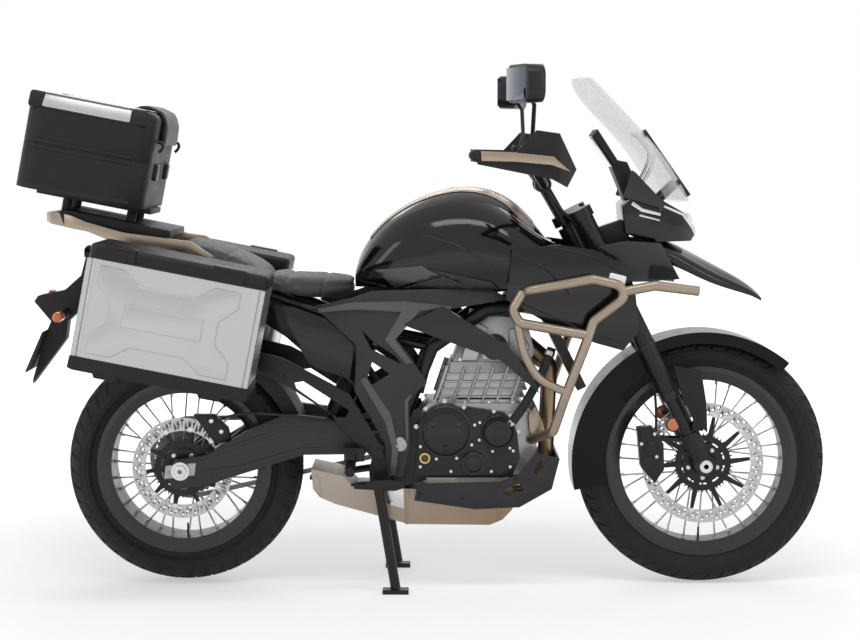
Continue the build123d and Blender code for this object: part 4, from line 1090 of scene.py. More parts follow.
# ---------------------------------------------------------------- wheels
@dataclass
class Wheel:
    """Tyre, drilled brake disc, spoke nipples, disc bolts and valve of one wire wheel."""

    name: str
    body: str
    centre: Centre
    radius: float
    width: float
    rim_radius: float
    hub_half: float
    disc_radius: float
    disc_y: float
    pitches: int = 48
    groove: float = 4.5
    spokes: int = 32
    shoulder_drop: float = 0.28     # of the width, from the crown's top down to its edge

    def crown(self, y: float) -> float:
        """Radius of the tread's surface at a distance from the middle."""
        half = self.width / 2
        rise = self.shoulder_drop * self.width
        bow = (half * half + rise * rise) / (2 * rise)
        return self.radius - bow + math.sqrt(max(0.0, bow * bow - y * y))

    def tyre(self) -> None:
        """Carcass with a rounded tread and moulded side rings."""
        half = self.width / 2
        shoulder = self.radius - self.shoulder_drop * self.width
        bead = 0.36 * self.width
        flange = self.rim_radius + 12.0
        side = [(self.crown(share * half) - self.groove, share * half) for share in (0.0, 0.2, 0.4, 0.6, 0.78, 0.9)]
        side += [(shoulder - 1.0, half - 1.2), (shoulder - 9.0, half - 0.4), (shoulder - 10.0, half - 1.6),
                 (shoulder - 0.45 * (shoulder - flange), half - 0.8), (flange + 11.0, bead + 6.0),
                 (flange + 10.0, bead + 4.6), (flange + 2.0, bead + 1.5), (self.rim_radius + 1.0, bead - 1.0)]
        profile = [(r, -y) for r, y in reversed(side)] + side[1:]
        Shaper().turned(profile, self.centre, 96).done(
            f"{self.name}-tyre-carcass", Look.RUBBER, self.body, (f"{self.name}_tyre",), 50
        )

    def block(self, y_from: float, y_to: float, start: float, length: float, sweep: float) -> bmesh.types.BMesh:
        """One tread block, bent round the crown.

        Args:
            y_from: inner edge.
            y_to: outer edge.
            start: angle of its leading edge in degrees.
            length: its length in degrees.
            sweep: how far its outer edge trails its inner edge, in degrees.

        Returns:
            The block as a bmesh in metres.
        """
        part = bmesh.new()
        bmesh.ops.create_grid(part, x_segments=2, y_segments=3, size=0.5)
        grown = bmesh.ops.extrude_face_region(part, geom=part.faces[:])
        top = {v for v in grown["geom"] if isinstance(v, bmesh.types.BMVert)}
        cx, cz = self.centre
        for vert in part.verts:
            raised = vert in top
            along, across = vert.co.x + 0.5, vert.co.y + 0.5
            if raised:
                along = 0.5 + (along - 0.5) * 0.90
                across = 0.5 + (across - 0.5) * 0.92
            y = y_from + (y_to - y_from) * across
            r = self.crown(y) - (0.15 if raised else self.groove + 0.6)
            turn = math.radians(start + length * along + sweep * across)
            vert.co = Vector(((cx + r * math.cos(turn)) * MM, y * MM, (cz + r * math.sin(turn)) * MM))
        bmesh.ops.recalc_face_normals(part, faces=part.faces)
        return part

    def tread(self) -> None:
        """Tread blocks all round."""
        half = self.width / 2
        pitch = 360.0 / self.pitches
        rows = [(0.02, 0.20, 0.0, 0.86, 0.5), (0.24, 0.52, 0.3, 0.84, 1.6), (0.56, 0.93, 0.1, 0.80, 2.6)]
        shaper = Shaper()
        for low, high, start, length, sweep in rows:
            for side in (-1, 1):
                shift = start if side > 0 else start + 0.5
                ends = sorted((side * low * half, side * high * half))
                trail = sweep if side > 0 else -sweep
                shaper.take(self.block(*ends, shift * pitch, length * pitch, trail))
        shaper.ring_of(self.pitches, self.centre).done(f"{self.name}-tread", Look.RUBBER, self.body, (), 30)

    def disc(self) -> None:
        """Drilled disc with a black carrier and bright bobbins."""
        outer, inner = self.disc_radius, self.disc_radius - 34.0
        y_out, y_in = self.disc_y, self.disc_y + 5.0
        band = Shaper().turned([(inner, y_out), (outer, y_out), (outer, y_in), (inner, y_in)], self.centre, 120)
        cx, cz = self.centre
        cutter = Shaper()
        for depth, turn in ((8.0, 0.0), (17.0, 5.0), (26.0, 10.0)):
            x, z = around(self.centre, outer - depth, turn)
            cutter.rod((x, y_out - 3, z), (x, y_in + 3, z), 3.6, segments=10)
        cutter.ring_of(24, self.centre)
        drill = cutter.done(f"{self.name}-drill", Look.DISC, self.body)
        piece = band.done(f"{self.name}-brake-band", Look.DISC, self.body, (f"{self.name}_disc",), 30)
        cut = piece.modifiers.new("holes", "BOOLEAN")
        cut.object = drill
        cut.operation = "DIFFERENCE"
        cut.solver = "EXACT"
        graph = bpy.context.evaluated_depsgraph_get()
        mesh = bpy.data.meshes.new_from_object(piece.evaluated_get(graph))
        piece.modifiers.clear()
        piece.data = mesh
        bpy.data.objects.remove(drill)
        carrier = Shaper()
        hub_face = -self.hub_half
        carrier.turned([(22, y_out + 0.5), (52, y_out + 0.5), (54, y_out + 3), (54, hub_face - 1), (22, hub_face - 1)],
                       self.centre, 60, 0.6)
        arms = Shaper()
        reach = inner + 6.0
        arms.plate([(cx + 46, cz - 9), (cx + reach, cz + 8), (cx + reach, cz + 16), (cx + 46, cz + 9)], y_out + 1.0,
                   y_out + 5.0, 0.8)
        arms.ring_of(10, self.centre)
        carrier.joined(arms)
        carrier.done(f"{self.name}-disc-carrier", Look.SATIN, self.body, (), 30)
        bobbins = Shaper()
        bobbins.spun([(0, -1.5), (7, -1.5), (7, 0.5), (4.2, 1.2), (0, 1.2)], (cx + inner + 4, y_out - 0.2, cz + 12),
                     ACROSS, 16)
        bobbins.ring_of(10, self.centre).done(f"{self.name}-disc-bobbins", Look.BRIGHT, self.body)
        ring = Shaper().turned([(58, y_out + 0.2), (74, y_out + 0.2), (74, y_out + 2), (58, y_out + 2)], self.centre)
        tooth = Shaper().plate([(cx + 73, cz - 1.6), (cx + 79, cz - 1.6), (cx + 79, cz + 1.6), (cx + 73, cz + 1.6)],
                               y_out + 0.2, y_out + 2, 0).ring_of(48, self.centre)
        ring.joined(tooth)
        ring.done(f"{self.name}-speed-ring", Look.SATIN, self.body)

    def trim(self) -> None:
        """Spoke nipples, disc bolts and the valve."""
        cx, cz = self.centre
        well = self.rim_radius - 27.0
        nipples = Shaper()
        y = 0.12 * self.width
        for turn, side in ((0.0, 1), (360.0 / self.spokes, -1)):
            tip_x, tip_z = around(self.centre, well - 11, turn)
            root_x, root_z = around(self.centre, well, turn)
            nipples.rod((root_x, side * y, root_z), (tip_x, side * y * 1.05, tip_z), 4.2, 3.2, 8)
        nipples.ring_of(self.spokes // 2, self.centre).done(f"{self.name}-nipples", Look.BRIGHT, self.body)
        bolts = Shaper().bolt((cx + 40, self.disc_y + 0.8, cz), ACROSS, 5.0, 4.0)
        bolts.ring_of(5, self.centre, 18.0).done(f"{self.name}-disc-bolts", Look.BRIGHT, self.body)
        valve = Shaper().rod((cx, 3, cz - well + 1), (cx, 3, cz - well + 30), 3.0, 2.6, 12)
        valve.done(f"{self.name}-valve", Look.SATIN, self.body)

    def build(self) -> None:
        """Build the wheel's pieces."""
        self.tyre()
        self.tread()
        self.disc()
        self.trim()


FRONT = Wheel("front", "front_wheel", (725.0, 329.5), 329.5, 110.0, 243.0, 60.0, 160.0, -70.0)
REAR = Wheel("rear", "rear_wheel", (-645.0, 318.0), 312.0, 160.0, 221.0, 72.0, 133.0, -88.0, 44)


# ---------------------------------------------------------------- luggage
def case_place(corner: tuple[float, float], y: float = 0.0, tilt: float = 11.0) -> Matrix:
    """Matrix from a case's own lower rear corner to the machine.

    Args:
        corner: (x, z) of the corner in millimetres.
        y: middle of the case across the machine.
        tilt: nose-down angle in degrees.

    Returns:
        The matrix in metres.
    """
    return Matrix.Translation(Vector((corner[0], y, corner[1])) * MM) @ Matrix.Rotation(math.radians(tilt), 4, "Y")


@dataclass
class Panniers:
    """Aluminium side cases: pressed panels, upright edges, black lower trims and the lids' clasps."""

    length: float = 436.0
    depth: float = 228.0
    height: float = 272.0
    lid_height: float = 36.0
    corner: Centre = (-870.0, 629.0)
    middle_y: float = -346.0
    clasps: tuple[float, float] = (76.0, 342.0)
    pressing: Outline = field(default_factory=lambda: [
        (34, 42), (95, 42), (138, 74), (270, 74), (314, 41), (380, 41), (380, 84), (338, 121), (338, 176), (380, 216),
        (380, 256), (316, 257), (272, 224), (136, 225), (95, 258), (35, 259), (34, 217), (72, 178), (72, 123), (33, 87),
    ])
    pad: Outline = field(default_factory=lambda: [(108, 121), (108, 177), (303, 177), (303, 121)])

    def pressed_panel(self, place: Matrix) -> None:
        """Panel pressed out of the outer face, with a pad in its middle, and the rounded upright edges.

        Args:
            place: matrix of the right-hand case.
        """
        face = -self.depth / 2
        s = Shaper()
        s.plate(self.pressing, face - 4.0, face + 0.5, 3.4, 3)
        s.plate(self.pad, face - 7.2, face - 3.6, 2.8, 3)
        for x in (6.5, self.length - 6.5):
            s.rod((x, face + 6.5, 31), (x, face + 6.5, self.height - 1), 7.6, segments=28)
        s.placed(place)
        s.mirrored().done("pannier-pressings", Look.CASE, "chassis", (), 50)

    def trims(self, place: Matrix) -> None:
        """Black bottom edge with its feet, and the strips under both ends.

        Args:
            place: matrix of the right-hand case.
        """
        half = self.depth / 2
        s = Shaper()
        bottom = [(-1.5, 30), (-3, 0), (10, -4), (60, -4), (66, -14), (112, -14), (118, -4), (318, -4), (324, -14),
                  (372, -14), (378, -4), (428, -4), (439, 0), (438, 30)]
        for y_from, y_to in ((-half - 3.5, -half + 2.0), (half - 2.0, half + 0.2)):
            s.plate(bottom, y_from, y_to, 1.5)
        for x in (1.5, self.length - 1.5):
            s.box((x, 0, 15), (7, self.depth - 40, 34), 1.2)
        s.placed(place)
        s.mirrored().done("pannier-trims", Look.MATT, "chassis", (), 40)

    def lids(self, place: Matrix) -> None:
        """Ribbed clasps and the sealing strip of both lids.

        Args:
            place: matrix of the right-hand case.
        """
        half = self.depth / 2
        z = self.height
        for on_left, body in ((False, "pannier_lid_right"), (True, "pannier_lid_left")):
            s = Shaper()
            for x in self.clasps:
                s.box((x, -half - 3.0, z + 21), (78, 9, 32), 3.0, segments=3)
                s.box((x, -half + 8, z + self.lid_height + 1.0), (78, 26, 5), 2.0)
                for step in range(-3, 4):
                    s.box((x + step * 10, -half - 8.0, z + 21), (4, 2.4, 24), 0.8)
            s.box((self.length / 2, -half + 0.5, z + 4), (self.length - 40, 5, 7), 1.6)
            s.placed(place)
            if on_left:
                s.swapped()
            s.done(f"{body.replace('_', '-')}-fittings", Look.SATIN, body, (), 40)

    def build(self) -> None:
        """Dress both side cases."""
        place = case_place(self.corner, self.middle_y)
        self.pressed_panel(place)
        self.trims(place)
        self.lids(place)


@dataclass
class TopCase:
    """Top case: brushed bands, corner caps, seam ribs, hooks, lock and hinge covers."""

    length: float = 332.0
    width: float = 404.0
    base_height: float = 118.0
    lid_height: float = 128.0
    corner: Centre = (-1053.0, 1063.0)
    middle: float = 152.0

    def bands(self, place: Matrix) -> None:
        """Brushed bands along the lid's upper edges and on its top.

        Args:
            place: matrix of the case.
        """
        top = self.base_height + self.lid_height + 0.3
        half = self.width / 2
        s = Shaper()
        for side in (-1, 1):
            s.box((self.middle, side * (half - 5.0), top - 20), (226, 12, 34), 4.0, (side * 20, 0, 0), 3)
        s.box((self.middle, 0, top + 0.2), (200, self.width - 70, 3), 1.2)
        s.placed(place).done("top-case-bands", Look.CASE, "top_case_lid", (), 40)

    def shells(self, place: Matrix) -> None:
        """Corner caps, seam ribs, hinge covers and the latch of the lid and the base.

        Args:
            place: matrix of the case.
        """
        half = self.width / 2
        seam = self.base_height
        lid = Shaper()
        lid.box((self.length / 2 - 4, 0, seam + 7), (self.length - 86, self.width + 5, 9), 2.0)
        for x in (24, 286):
            for side in (-1, 1):
                lid.box((x, side * (half - 14), seam + 107), (44, 30, 44), 9.0, (side * 14, 0, 0), 3)
        lid.box((-0.5, 0, seam + 26), (7, 96, 40), 3.0)
        lid.placed(place).done("top-case-lid-trim", Look.MATT, "top_case_lid", (), 40)
        base = Shaper()
        base.box((self.length / 2 - 4, 0, seam - 8), (self.length - 86, self.width + 5, 8), 2.0)
        base.box((self.length / 2, 0, 10), (self.length - 70, self.width + 3, 14), 3.0)
        base.box((-1.0, 0, seam - 26), (8, 74, 30), 3.0)
        for side in (-1, 1):
            base.box((self.length + 2, side * 92, seam - 22), (16, 34, 42), 5.0, segments=3)
        base.placed(place).done("top-case-base-trim", Look.SATIN, "chassis", (), 40)

    def hooks(self, place: Matrix) -> None:
        """Two hooks at the lid's front edge and the lock at the rear.

        Args:
            place: matrix of the case.
        """
        s = Shaper()
        hook = [(334, 176), (348, 178), (352, 160), (342, 150)]
        for y in (-150, 150):
            s.pipe([(x, y, z) for x, z in hook], 4.0)
        s.placed(place).done("top-case-hooks", Look.SATIN, "top_case_lid")
        lock = Shaper().spun([(0, 0), (9, 0), (10, 1.5), (9, 3), (4, 3.4), (0, 2.4)], (-4.6, 0, 96), (-1, 0, 0), 28)
        lock.placed(place).done("top-case-lock", Look.BRIGHT, "chassis")

    def build(self) -> None:
        """Dress the top case."""
        place = case_place(self.corner)
        self.bands(place)
        self.shells(place)
        self.hooks(place)


# ---------------------------------------------------------------- tank, lamps and nose
@dataclass
class Tank:
    """Trim of the fuel tank: strips laid over it, creases and the filler cap."""

    stripe_half: float = 40.0
    cap_x: float = 92.0
    cap_axis: Point = (0.06, 0.0, 1.0)
    creases: tuple[Outline, ...] = (
        [(-20, 934), (40, 922), (96, 900), (140, 872), (166, 842)],
        [(-110, 900), (-40, 958), (60, 996), (150, 992), (230, 966)],
    )

    def build(self) -> None:
        """Lay the spine strip, the low inserts, the covers' upper ends, the creases and the filler cap."""
        w = self.stripe_half
        skin("tank", "tank-spine-strip", Look.BRONZE,
             [((-118, w, 0), (-0.10, 1, 0)), ((-118, -w, 0), (-0.10, -1, 0)), ((-150, 0, 0), (-1, 0, 0)),
              ((276, 0, 0), (1, 0, 0))], 2.6, 2.4, True)
        skin("tank", "tank-low-insert", Look.WEDGE,
             [((-139, 0, 842), (-0.105, 0, 0.994)), ((30, 0, 833), (0.431, 0, 0.902)),
              ((30, 0, 833), (0.304, 0, -0.953)), ((-86, 0, 797), (-0.656, 0, -0.755))], 2.4, 2.4)
        cover_top = ((0, 0, 797), (0, 0, -1))
        skin("tank", "cover-crest-front", Look.CHARCOAL,
             [((-10, 0, 850), (0.196, 0, 0.981)), ((34, 0, 833), (-0.391, 0, -0.920)), ((211, 0, 769), (0.70, 0, 0.71)),
              cover_top], 3.4, 3.0)
        skin("tank", "cover-crest-rear", Look.CHARCOAL,
             [((34, 0, 828), (-0.304, 0, 0.953)), ((34, 0, 832.4), (0.391, 0, 0.920)), cover_top], 3.4, 3.0)
        ridges = Shaper()
        for line in self.creases:
            ridges.pipe([on_side("tank", x, z) for x, z in line], 3.2, 3, 8)
        ridges.mirrored().done("tank-creases", Look.GLOSS)
        cap = Shaper().spun([(0, 6.5), (9, 6.5), (11, 5), (30, 5), (34, 3.5), (35, 1), (35, -6), (0, -6)],
                            (self.cap_x, 0, 1046), self.cap_axis, 48)
        cap.done("filler-cap", Look.SATIN, "chassis")
        bolts = Shaper()
        for turn in range(0, 360, 60):
            x, y = around((self.cap_x, 0.0), 26, turn)
            bolts.spun([(0, 1.4), (2.6, 1.4), (3.2, 0.6), (3.2, -1), (0, -1)], (x, y, 1051), self.cap_axis, 12)
        bolts.done("filler-cap-bolts", Look.BRIGHT, "chassis")


@dataclass
class Nose:
    """Headlamp optics, grilles, marker lamps, the shrouds' creases and the screen's fittings."""

    creases: tuple[Outline, ...] = (
        [(224, 884), (262, 872), (306, 846), (340, 812), (360, 786)],
        [(318, 904), (380, 894), (440, 872), (496, 838)],
        [(236, 764), (320, 730), (400, 690), (470, 668)],
    )

    def lamps(self) -> None:
        """Lamp modules, running-light strips, the shell's bright side strips and side markers."""
        s = Shaper()
        for side in (-1, 1):
            for x, y, z in ((684, 34, 968), (694, 22, 940)):
                s.spun([(0, 3), (10, 2.4), (13, 0.5), (15, 3.5), (18, 3.5), (18, -6), (0, -6)], (x, side * y, z),
                       (0.82, side * 0.5, 0.22), 28)
        s.done("lamp-projectors", Look.LENS)
        strips = Shaper()
        for side in (-1, 1):
            strips.rod((612, side * 94, 1006), (664, side * 66, 984), 3.0, segments=10)
            strips.rod((664, side * 66, 984), (690, side * 40, 950), 3.0, segments=10)
        strips.done("running-lights", Look.WHITE)
        edging = Shaper()
        edging.plate([(530, 1019), (556, 1001), (602, 989), (602, 981), (553, 992), (525, 1010)], -106.2, -103)
        edging.plate([(548, 986), (600, 972), (600, 968), (546, 981)], -106.0, -103, 0.8)
        edging.mirrored().done("lamp-side-strips", Look.BRIGHT)
        creases = Shaper()
        for line in self.creases:
            creases.pipe([on_side("shrouds", x, z, 1.0) for x, z in line], 3.0, 3, 8)
        creases.mirrored().done("shroud-creases", Look.GLOSS)
        marker = Shaper().box((482, -207.5, 826), (44, 9, 22), 4.0, (0, 14, 6), 3)
        marker.mirrored().done("side-markers", Look.WHITE)

    def grilles(self) -> None:
        """Honeycomb of the nose's side intakes."""
        s = Shaper()
        s.plate([(578, 857), (634, 845), (648, 820), (570, 820)], -137, -132, 1.0)
        size = 5.2
        for row in range(4):
            for column in range(9):
                x = 578 + column * size * 1.75 + (row % 2) * size * 0.88
                z = 824 + row * size * 1.52
                if x > 640 - (z - 820) * 0.3 or x < 574:
                    continue
                s.spun([(size * 0.62, 0), (size * 0.98, 0), (size * 0.98, 2.5), (size * 0.8, 2.9), (size * 0.62, 2.5),
                        (size * 0.62, 0)], (x, -137, z), ACROSS, 6)
        s.mirrored().done("nose-grilles", Look.MATT, "chassis", (), 20)

    def screen(self) -> None:
        """Centre bar, stays and screws of the windscreen."""
        bar = Shaper()
        bar.plate([(560, 1200), (571, 1206), (692, 1034), (680, 1026)], -16, 16, 3.0, 3)
        bar.done("screen-centre-bar", Look.SATIN)
        stays = Shaper()
        for side in (-1, 1):
            stays.pipe([(560, side * 58, 1066), (600, side * 58, 1130), (566, side * 58, 1180),
                        (540, side * 56, 1196)], 5.0)
        stays.done("screen-stays", Look.BRIGHT)
        screws = Shaper()
        for side in (-1, 1):
            for x, y, z in ((654, 62, 1068), (566, 60, 1192)):
                screws.spun([(0, 3), (6, 2.5), (8, 0), (8, -3), (0, -3)], (x, side * y, z), (0.85, 0, 0.5), 18)
        screws.done("screen-screws", Look.SATIN)

    def dash(self) -> None:
        """Display on the dash, facing the rider."""
        s = Shaper().plate([(424, 1186), (427, 1187.5), (481, 1109.5), (478, 1107)], -68, 68, 1.0)
        s.done("dash-display", Look.DIAL)

    def build(self) -> None:
        """Dress the nose."""
        self.lamps()
        self.grilles()
        self.screen()
        self.dash()


@dataclass
class Bars:
    """Grips, levers, reservoirs, guard strips and mirror glass, along the line of the right-hand grip."""

    grip_end: Point = (134.0, -428.0, 1134.0)
    bend: Point = (262.0, -205.0, 1118.0)
    grip_rings: int = 15

    def along(self, distance: float, shift: Point = (0, 0, 0)) -> Point:
        """Point at a distance in from the grip's end, shifted off the bar."""
        run = (Vector(self.bend) - Vector(self.grip_end)).normalized()
        return tuple(Vector(self.grip_end) + run * distance + Vector(shift))

    def build(self) -> None:
        """Dress the handlebar."""
        grips = Shaper()
        for i in range(self.grip_rings):
            start = 2 + i * 8
            grips.rod(self.along(start), self.along(start + 5.2), 18.6, segments=24, bevel=1.0)
        grips.mirrored().done("grips", Look.GRIP, "steering")
        ends = Shaper().rod(self.along(-1), self.along(-13), 15.0, 13.5, 28, 1.5)
        ends.mirrored().done("bar-ends", Look.BRIGHT, "steering")
        levers = Shaper().pipe([self.along(150, (34, 0, -4)), self.along(110, (50, 0, -4)), self.along(40, (50, 0, -8)),
                                self.along(-2, (38, 0, -10))], 6.0)
        levers.mirrored().done("levers", Look.SATIN, "steering")
        pots = Shaper().spun([(0, 17), (14, 17), (17, 14), (17, 4), (15, 0), (15, -14), (0, -14)],
                             self.along(178, (24, 0, 22)), (0.15, 0, 1), 32)
        pots.mirrored().done("fluid-reservoirs", Look.SATIN, "steering")
        strips = Shaper().plate([(128, 1150), (205, 1147), (303, 1137), (344, 1100), (300, 1116), (214, 1124),
                                 (130, 1126)], -455, -450.5, 1.2)
        strips.mirrored().done("hand-guard-strips", Look.BRONZE, "steering")
        glass = Shaper().box((215.0, -405.0, 1312.0), (3, 136, 78), 1.2, (0, 0, 18))
        glass.mirrored().done("mirror-glass", Look.MIRROR, "steering")


# ---------------------------------------------------------------- padded seats
@dataclass
class Cushion:
    """One padded piece blown up inside its cover, then sewn.

    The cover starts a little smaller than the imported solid, swells under pressure with its base held flat,
    and gets its seams pressed in afterwards.
    """

    node: str
    name: str
    finish: object
    cross_seams: tuple[float, ...] = ()
    rim_seam: float | None = None
    voxel: float = 8.0
    inset: float = 4.5
    cap: float = 6.0
    pressure: float = 4.0
    frames: int = 20
    groove: float = 3.0
    groove_half: float = 5.5
    tilt: float = 0.0
    slope: float = 0.0
    fill: float = 0.75

    def start_mesh(self) -> bpy.types.Object:
        """Even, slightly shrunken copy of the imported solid."""
        bm = node_mesh(self.node, 0.1)
        mesh = bpy.data.meshes.new(self.name)
        bm.to_mesh(mesh)
        bm.free()
        obj = bpy.data.objects.new(self.name, mesh)
        bpy.context.scene.collection.objects.link(obj)
        remesh = obj.modifiers.new("even", "REMESH")
        remesh.mode = "VOXEL"
        remesh.voxel_size = self.voxel * MM
        smooth = obj.modifiers.new("soft", "SMOOTH")
        smooth.iterations = 5
        smooth.factor = 0.5
        self.bake(obj)
        bm = bmesh.new()
        bm.from_mesh(obj.data)
        bm.normal_update()
        for vert in bm.verts:
            vert.co -= vert.normal * self.inset * MM
        bm.to_mesh(obj.data)
        bm.free()
        return obj

    @staticmethod
    def bake(obj: bpy.types.Object) -> None:
        """Turn an object's modifiers into its mesh.

        Args:
            obj: the object.
        """
        bpy.context.view_layer.update()
        graph = bpy.context.evaluated_depsgraph_get()
        mesh = bpy.data.meshes.new_from_object(obj.evaluated_get(graph))
        obj.modifiers.clear()
        obj.data = mesh

    def inflate(self, obj: bpy.types.Object) -> None:
        """Blow the cover up and keep each point within the cap.

        Args:
            obj: the shrunken cover.
        """
        rest = [v.co.copy() for v in obj.data.vertices]
        floor = min(v.z for v in rest)
        held = obj.vertex_groups.new(name="base")
        base = [v.index for v in obj.data.vertices if v.normal.z < -0.55]
        held.add(base, 1.0, "REPLACE")
        cloth = obj.modifiers.new("cover", "CLOTH")
        cloth.settings.quality = 4
        cloth.settings.mass = 0.3
        cloth.settings.tension_stiffness = 12
        cloth.settings.bending_stiffness = 4
        cloth.settings.use_pressure = True
        cloth.settings.uniform_pressure_force = self.pressure
        cloth.settings.vertex_group_mass = "base"
        cloth.settings.effector_weights.gravity = 0.0
        cloth.point_cache.frame_start = 1
        cloth.point_cache.frame_end = self.frames
        for frame_number in range(1, self.frames + 1):
            bpy.context.scene.frame_set(frame_number)
        graph = bpy.context.evaluated_depsgraph_get()
        blown = bpy.data.meshes.new_from_object(obj.evaluated_get(graph))
        obj.modifiers.clear()
        bpy.context.scene.frame_set(1)
        for vert, start in zip(blown.vertices, rest):
            move = vert.co - start
            if move.length > self.cap * MM:
                vert.co = start + move.normalized() * self.cap * MM
            vert.co.z = max(vert.co.z, floor)
        obj.data = blown

    def sew(self, obj: bpy.types.Object) -> None:
        """Press the seams in across the pad and round its upper rim.

        Args:
            obj: the blown cover.
        """
        turn = Matrix.Rotation(-math.radians(self.tilt), 3, "Y")
        for vert in obj.data.vertices:
            place = turn @ vert.co / MM
            depth = 0.0
            for seam in self.cross_seams:
                bow = seam - 0.0009 * (vert.co.y / MM) ** 2
                depth = max(depth, math.exp(-((place.x - bow) / self.groove_half) ** 2))
            if self.rim_seam is not None:
                side = math.exp(-((place.z - self.rim_seam - self.slope * place.x) / self.groove_half) ** 2)
                depth = max(depth, side * (1.0 - max(0.0, vert.normal.z) ** 2))
            if vert.normal.z > -0.4:
                vert.co -= vert.normal * depth * self.groove * MM

    def build(self) -> None:
        obj = self.start_mesh()
        self.inflate(obj)
        fine = obj.modifiers.new("fine", "SUBSURF")
        fine.levels = fine.render_levels = 1
        self.bake(obj)
        self.sew(obj)
        mesh = obj.data
        bpy.data.objects.remove(obj)
        piece = as_piece(self.name, mesh, self.finish, body_of(self.node), (self.node,), 70)


SEATS = [
    Cushion("rider_seat", "rider-seat-cushion", Look.RIDER_SEAT, (-262.0, -352.0), 800.0),
    Cushion("pillion_seat", "pillion-seat-cushion", Look.PILLION_SEAT, (-500.0, -590.0), 560.0, slope=-0.58),
    Cushion("backrest_pad", "backrest-cushion", Look.RIDER_SEAT, (), None, voxel=7.0, inset=4.0, cap=5.0),
]


# ---------------------------------------------------------------- engine and running gear
@dataclass
class Engine:
    """Cover rings, bolts, sight glass, castings, plugs and hoses of the engine, and the silencer's seams."""

    face: float = -132.3            # of the crankcase covers
    head_face: float = -87.6
    barrel_face: float = -91.6
    clutch: Centre = (46.0, 424.0)
    pump: Centre = (182.0, 422.0)
    sight: Centre = (-8.0, 352.0)

    def covers(self) -> None:
        """Rings and bosses on the round covers."""
        s = Shaper()
        for centre, r, y in ((self.clutch, 70, -154.3), (self.pump, 46, -142.3), ((118, 340), 31, -146.0)):
            s.turned([(r - 8, y + 1), (r - 1, y + 1), (r - 1, y - 4), (r - 4, y - 6), (r - 8, y - 5)], centre, 56)
        s.turned([(0.2, -166), (26, -166), (31, -164.5), (32, -160), (0.2, -160)], self.clutch, 48)
        s.turned([(0.2, -166), (18, -166), (22, -164), (22, -160), (0.2, -160)], self.pump, 40)
        for turn in (30, 150, 270):
            near_x, near_z = around(self.clutch, 34, turn)
            far_x, far_z = around(self.clutch, 56, turn)
            s.rod((near_x, -163, near_z), (far_x, -159, far_z), 5.0, 4.0, 10)
        s.done("cover-rings", Look.COVER, "chassis", (), 35)

    def bolts(self) -> None:
        """Bright bolts round the covers and the head, and the sight glass."""
        seat = self.face + 0.4
        s = Shaper()
        s.bolts([around(self.clutch, 77, 12 + 40 * i) for i in range(9)], seat, 4.6, 6.0)
        s.bolts([around(self.pump, 53, 51 * i) for i in range(7)], seat, 4.2, 5.0)
        s.bolts([(-20, 330), (60, 318), (165, 318), (214, 330), (222, 372)], seat, 4.6, 6.0)
        s.bolts([(84, 606), (120, 710), (232, 700), (252, 640), (256, 606)], self.head_face, 5.4, 6.0)
        s.bolts([(40, 496), (96, 494), (160, 494), (222, 494)], self.barrel_face, 5.0, 5.0)
        s.mirrored().done("engine-bolts", Look.BRIGHT)
        ring = Shaper().turned([(10, -136.5), (14, -136.5), (15.5, -134), (15.5, -131), (10, -131)], self.sight, 40)
        ring.done("sight-glass-ring", Look.GOLD)
        glass = Shaper().turned([(0.2, -134), (10, -134), (10, -131), (0.2, -131)], self.sight, 32)
        glass.done("sight-glass", Look.SMOKE)

    def castings(self) -> None:
        """Ribs and covers of the cylinder head, and the cam plugs."""
        s = Shaper()
        s.plate([(86, 604), (128, 604), (156, 690), (122, 706), (104, 668)], -100, -87, 3.0, 3)
        s.plate([(208, 602), (252, 602), (266, 640), (240, 690), (212, 686)], -98, -87, 3.0, 3)
        s.plate([(142, 606), (196, 606), (200, 622), (140, 622)], -97, -87, 2.5, 3)
        for x in (66, 104, 142, 180, 218):
            s.rod((x, -97, 496), (x + 30, -97, 588), 4.0, segments=10)
        s.rod((20, -96, 500), (50, -96, 590), 7.0, segments=12)
        s.box((150, 0, 506), (150, 186, 14), 4.0)
        s.mirrored().done("head-castings", Look.ALLOY, "chassis", (), 35)
        plugs = Shaper().spun([(0, 26), (8, 26), (10, 22), (10, 4), (12, 0), (12, -6), (0, -6)], (176, -101, 640),
                              (0, -1, 0.15), 28)
        plugs.mirrored().done("cam-plugs", Look.SATIN)

    def hoses(self) -> None:
        """Coolant and breather hoses fixed at both ends."""
        s = Shaper()
        s.pipe([(206, -132, 430), (236, -146, 470), (266, -138, 520), (300, -128, 580), (322, -120, 640)], 12.0)
        s.pipe([(110, -92, 706), (70, -104, 730), (30, -96, 690), (0, -100, 600), (-20, -104, 520)], 9.0)
        s.done("coolant-hoses", Look.GRIP)
        clips = Shaper()
        for p, q in (((214, -136, 444), (221, -139, 452)), ((314, -123, 620), (318, -121, 630))):
            clips.rod(p, q, 13.6, segments=28)
        clips.done("hose-clips", Look.BRIGHT)

    def pipes(self) -> None:
        """Silencer seams and hanger."""
        bracket = Shaper().plate([(-124, 280), (-64, 278), (-62, 214), (-90, 222), (-124, 232)], -112, -108, 1.2)
        bracket.bolts([(-94, z) for z in (228, 244, 260)], -111.6, 4.4, 3.6)
        bracket.done("silencer-hanger", Look.BRIGHT)
        seams = Shaper()
        seams.plate([(-300, 300), (-290, 302), (-276, 250), (-286, 246)], -106, 68, 1.6)
        seams.plate([(180, 178), (190, 184), (196, 262), (186, 262)], -106, 68, 1.6)
        seams.plate([(-60, 172), (-52, 171), (-48, 262), (-56, 262)], -105.4, 67.4, 1.2)
        seams.done("silencer-seams", Look.HEAT)

    def build(self) -> None:
        """Dress the engine."""
        self.covers()
        self.bolts()
        self.castings()
        self.hoses()
        self.pipes()


